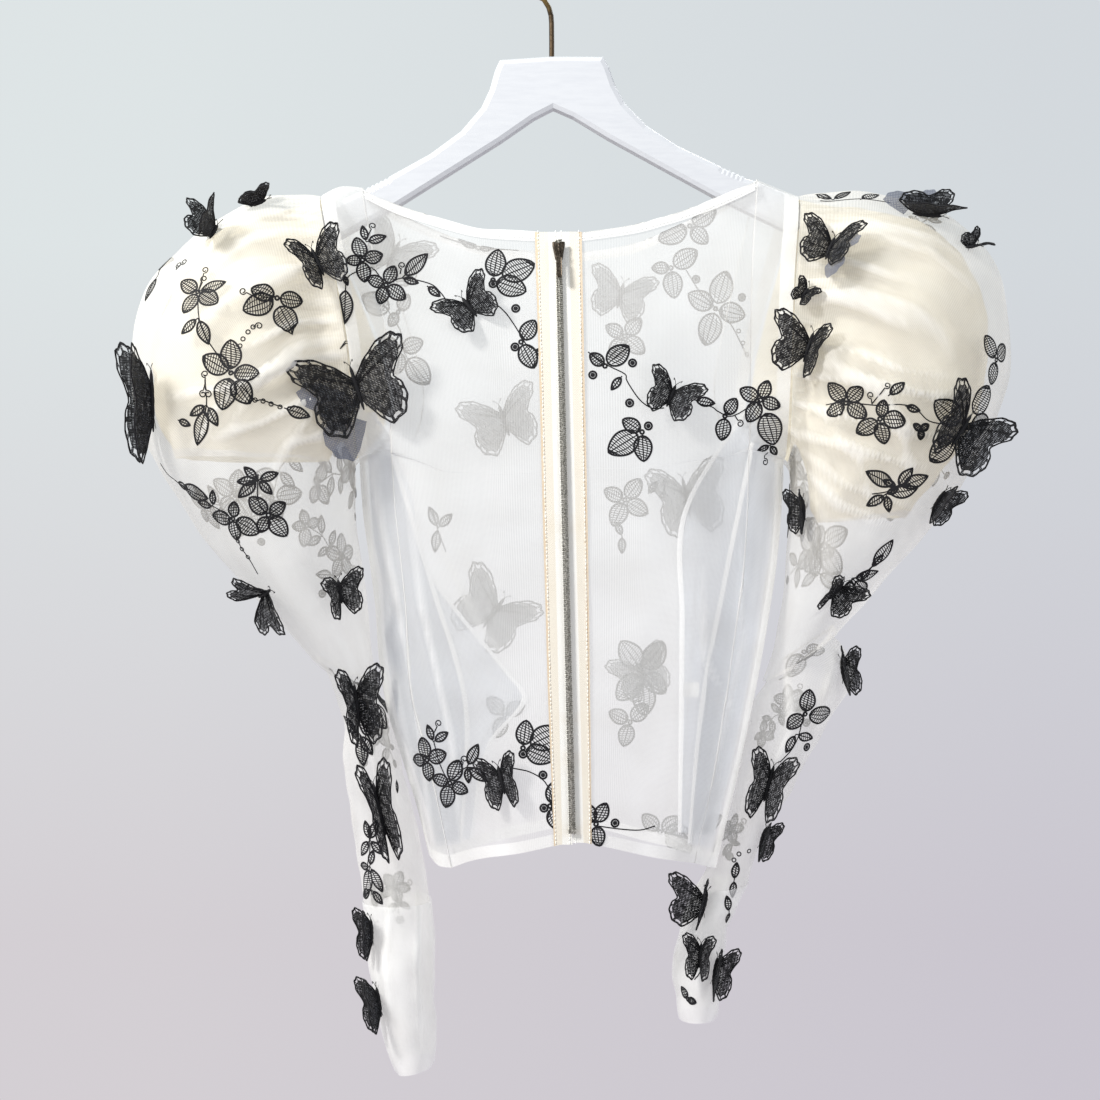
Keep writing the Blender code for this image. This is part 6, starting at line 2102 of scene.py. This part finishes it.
class Needle:
    """Thread work on one cloth, seen from outside it."""

    def __init__(self, cloth, far):
        self.tree = SHEETS[cloth].tree
        self.far = far
        self.shape = Shape()
        self.out = Vector((0.0, 1.0 if far else -1.0, 0.0))

    def cast(self, pixel):
        target = photo_point(*pixel)
        way = (target - EYE).normalized()
        start = EYE
        if self.far:
            start, way = EYE + way * FAR_START, -way
        found = self.tree.ray_cast(start, way)
        if found[0] is None:
            found = self.tree.find_nearest(target)
        return found[0]

    def settle(self, point, out):
        """Nearest place of the cloth and its outward normal."""
        found = self.tree.find_nearest(point)
        normal = found[1] if found[1].dot(out) >= 0 else -found[1]
        return found[0], normal

    def ribbon(self, line, wide, out, closed=False):
        rows = []
        count = len(line)
        placed = [self.settle(point, out) for point in line]
        for i, (point, normal) in enumerate(placed):
            before = placed[(i - 1) % count if closed else max(i - 1, 0)][0]
            after = placed[(i + 1) % count if closed else min(i + 1, count - 1)][0]
            side = (after - before).cross(normal).normalized() * (wide / 2)
            rows.append((point - side + normal * THREAD_LOW, point + normal * THREAD_HIGH,
                         point + side + normal * THREAD_LOW))
        faces = []
        for i in range(count if closed else count - 1):
            a, b = 3 * i, 3 * ((i + 1) % count)
            faces += [(a, a + 1, b + 1, b), (a + 1, a + 2, b + 2, b + 1)]
        self.shape.add([p for row in rows for p in row], faces)


def leaf_half_width(t, round_tip):
    return math.sin(math.pi * t ** LEAF_SKEW) ** (ROUND_TIP if round_tip else SHARP_TIP)


def leaf(needle, base, middle, ratio, round_tip, index):
    """Outlined leaf filled with fine crossing stitches."""
    centre, out = needle.settle(middle, needle.out)
    axis = (middle - base) - out * (middle - base).dot(out)
    length = min(max(axis.length * LEAF_STRETCH, SHORTEST_LEAF), LONGEST_LEAF)
    axis = axis.normalized()
    side = out.cross(axis)
    start = centre - axis * (length * LEAF_BACK)
    half = length * ratio
    rim = []
    for sign in (1, -1):
        steps = range(OUTLINE_STEPS) if sign > 0 else range(OUTLINE_STEPS, 0, -1)
        for k in steps:
            t = k / OUTLINE_STEPS
            rim.append(start + axis * (t * length) + side * (sign * half * leaf_half_width(t, round_tip)))
    needle.ribbon(rim, OUTLINE_WIDE, out, True)
    rib = [start + axis * (length * k / RIB_STEPS) for k in range(RIB_STEPS + 1)]
    needle.ribbon(rib, HATCH_WIDE * 1.3, out)
    count = max(int(length / HATCH_PITCH), LEAST_HATCHES)
    lean = HATCH_LEANS[index % 2]
    for k in range(1, count):
        t = k / count
        wide = half * leaf_half_width(t, round_tip) * LEAF_INSIDE
        other = min(max(t + lean, HATCH_ENDS[0]), HATCH_ENDS[1])
        wide_other = half * leaf_half_width(other, round_tip) * LEAF_INSIDE
        a = start + axis * (t * length) + side * wide
        b = start + axis * (other * length) - side * wide_other
        needle.ribbon([a, a.lerp(b, 0.5), b], HATCH_WIDE, out)
    if round_tip:
        for share in PETAL_VEINS:
            line = []
            for k in range(RIB_STEPS + 1):
                t = 0.1 + 0.8 * k / RIB_STEPS
                line.append(start + axis * (t * length) + side * (share * half * leaf_half_width(t, True)))
            needle.ribbon(line, HATCH_WIDE, out)


def ring(needle, middle, radius, wide, steps=14):
    centre, out = needle.settle(middle, needle.out)
    a = out.orthogonal().normalized()
    b = out.cross(a)
    line = []
    for k in range(steps):
        angle = 2 * math.pi * k / steps
        line.append(centre + (a * math.cos(angle) + b * math.sin(angle)) * radius)
    needle.ribbon(line, wide, out, True)
    return centre, out, a


def berry(needle, middle):
    ring(needle, middle, BERRY_RADIUS, OUTLINE_WIDE)
    centre, out, a = ring(needle, middle, BERRY_RADIUS * BERRY_CORE, HATCH_WIDE * 1.8, 8)
    half = a * (BERRY_SEED / 2)
    needle.ribbon([centre - half, centre + half], BERRY_SEED, out)


def bead(needle, middle):
    ring(needle, middle, BEAD_RADIUS, STEM_WIDE, 10)


def curl(needle, base, middle, index):
    """Feeler that ends in a small spiral."""
    centre, out = needle.settle(middle, needle.out)
    way = (base - centre) - out * (base - centre).dot(out)
    reach = way.length
    way = way.normalized() if reach > 1e-5 else out.orthogonal().normalized()
    side = out.cross(way) * (1 if index % 2 else -1)
    line = [base.lerp(centre + way * CURL_RADIUS, k / 3) for k in range(3)]
    for k in range(CURL_STEPS + 1):
        angle = 2 * math.pi * CURL_TURNS * k / CURL_STEPS
        radius = CURL_RADIUS * (1 - CURL_CLOSING * k / CURL_STEPS)
        line.append(centre + (way * math.cos(angle) + side * math.sin(angle)) * radius)
    needle.ribbon(line, STEM_WIDE, out)


def stem(needle, points):
    needle.ribbon(refine_line(points, False, 4), STEM_WIDE, needle.out)


def flower_heart(needle, base):
    ring(needle, base, HEART_RADIUS, OUTLINE_WIDE, 9)


def sew(needle, kind, base, items):
    """Sew one group; base and items are points of the cloth."""
    if kind == "stem":
        stem(needle, items)
        return
    for i, item in enumerate(items):
        if kind == "petal":
            leaf(needle, base, item, PETAL_RATIO, True, i)
        elif kind == "leaf":
            leaf(needle, base, item, LEAF_RATIO, False, i)
            stem(needle, [base, base.lerp(item, 0.5), item])
        elif kind == "curl":
            curl(needle, base, item, i)
        elif kind == "berry":
            berry(needle, item)
        else:
            bead(needle, item)
    if kind == "petal":
        flower_heart(needle, base)


# A small spray in its own flat units of a millimetre, for the hidden sides.

TWIG = [
    ("petal", (0, 0), [(0, 12), (-11, 4), (-8, -9), (7, -10), (11, 5)]),
    ("stem", None, [(0, 0), (14, -12), (26, -16), (40, -30)]),
    ("leaf", (14, -12), [(20, -4), (12, -21)]),
    ("leaf", (26, -16), [(36, -12), (25, -27)]),
    ("petal", (40, -30), [(40, -20), (49, -30), (43, -40), (31, -36)]),
    ("curl", (0, 0), [(-16, 15)]),
    ("stem", None, [(0, 0), (-12, -16), (-20, -30)]),
    ("berry", None, [(-24, -35)]),
    ("leaf", (-12, -16), [(-22, -16), (-8, -27)]),
]


def sew_hidden(hidden):
    sheet = SHEETS[hidden.cloth]
    r = int(hidden.along * (len(sheet.grid) - 1))
    c = int(hidden.around * len(sheet.grid[0])) % len(sheet.grid[0])
    centre, normal = sheet.grid[r][c], sheet.normals[r][c]
    needle = Needle(hidden.cloth, True)
    needle.out = normal
    up = (Vector((0.0, 0.0, 1.0)) - normal * normal.z).normalized()
    across = up.cross(normal)
    turn = math.radians(hidden.turn)
    right = across * math.cos(turn) + up * math.sin(turn)
    top = up * math.cos(turn) - across * math.sin(turn)

    def place(spot_at):
        flat = centre + (right * spot_at[0] + top * spot_at[1]) * (hidden.size * MM)
        return needle.settle(flat, normal)[0]

    for kind, base, items in TWIG:
        sew(needle, kind, place(base) if base else None, [place(item) for item in items])
    return needle.shape


def merge(shape, other):
    shape.add(other.points, other.faces)


def build_sprays():
    works = {}
    for cloth, sprays in SPRAYS.items():
        for spray in sprays:
            needle = Needle(cloth, spray.far)
            base = needle.cast(spray.base) if spray.base else None
            sew(needle, spray.kind, base, [needle.cast(item) for item in spray.items])
            merge(works.setdefault(cloth, Shape()), needle.shape)
    for hidden in HIDDEN:
        merge(works.setdefault(hidden.cloth, Shape()), sew_hidden(hidden))
    for cloth, shape in works.items():
        name = "embroidery_" + cloth
        link(name, shape.mesh(name), BLACK)


def set_light_paths():
    scene = bpy.context.scene
    scene.view_settings.view_transform = "Standard"
    scene.cycles.transparent_max_bounces = 14
    scene.cycles.max_bounces = 3
    scene.cycles.diffuse_bounces = 2
    scene.cycles.transmission_bounces = 2


def build_all():
    build_camera()
    build_studio()
    build_lamps()
    coarse = build_body()
    build_sleeve(-1, LEFT_RINGS, LEFT_SPLIT, LEFT_LINING)
    build_sleeve(1, RIGHT_RINGS, RIGHT_SPLIT, RIGHT_LINING)
    build_pleats()
    build_zip(coarse)
    build_stitches()
    build_label()
    dress_hanger()
    build_moths()
    build_sprays()


set_light_paths()
build_all()
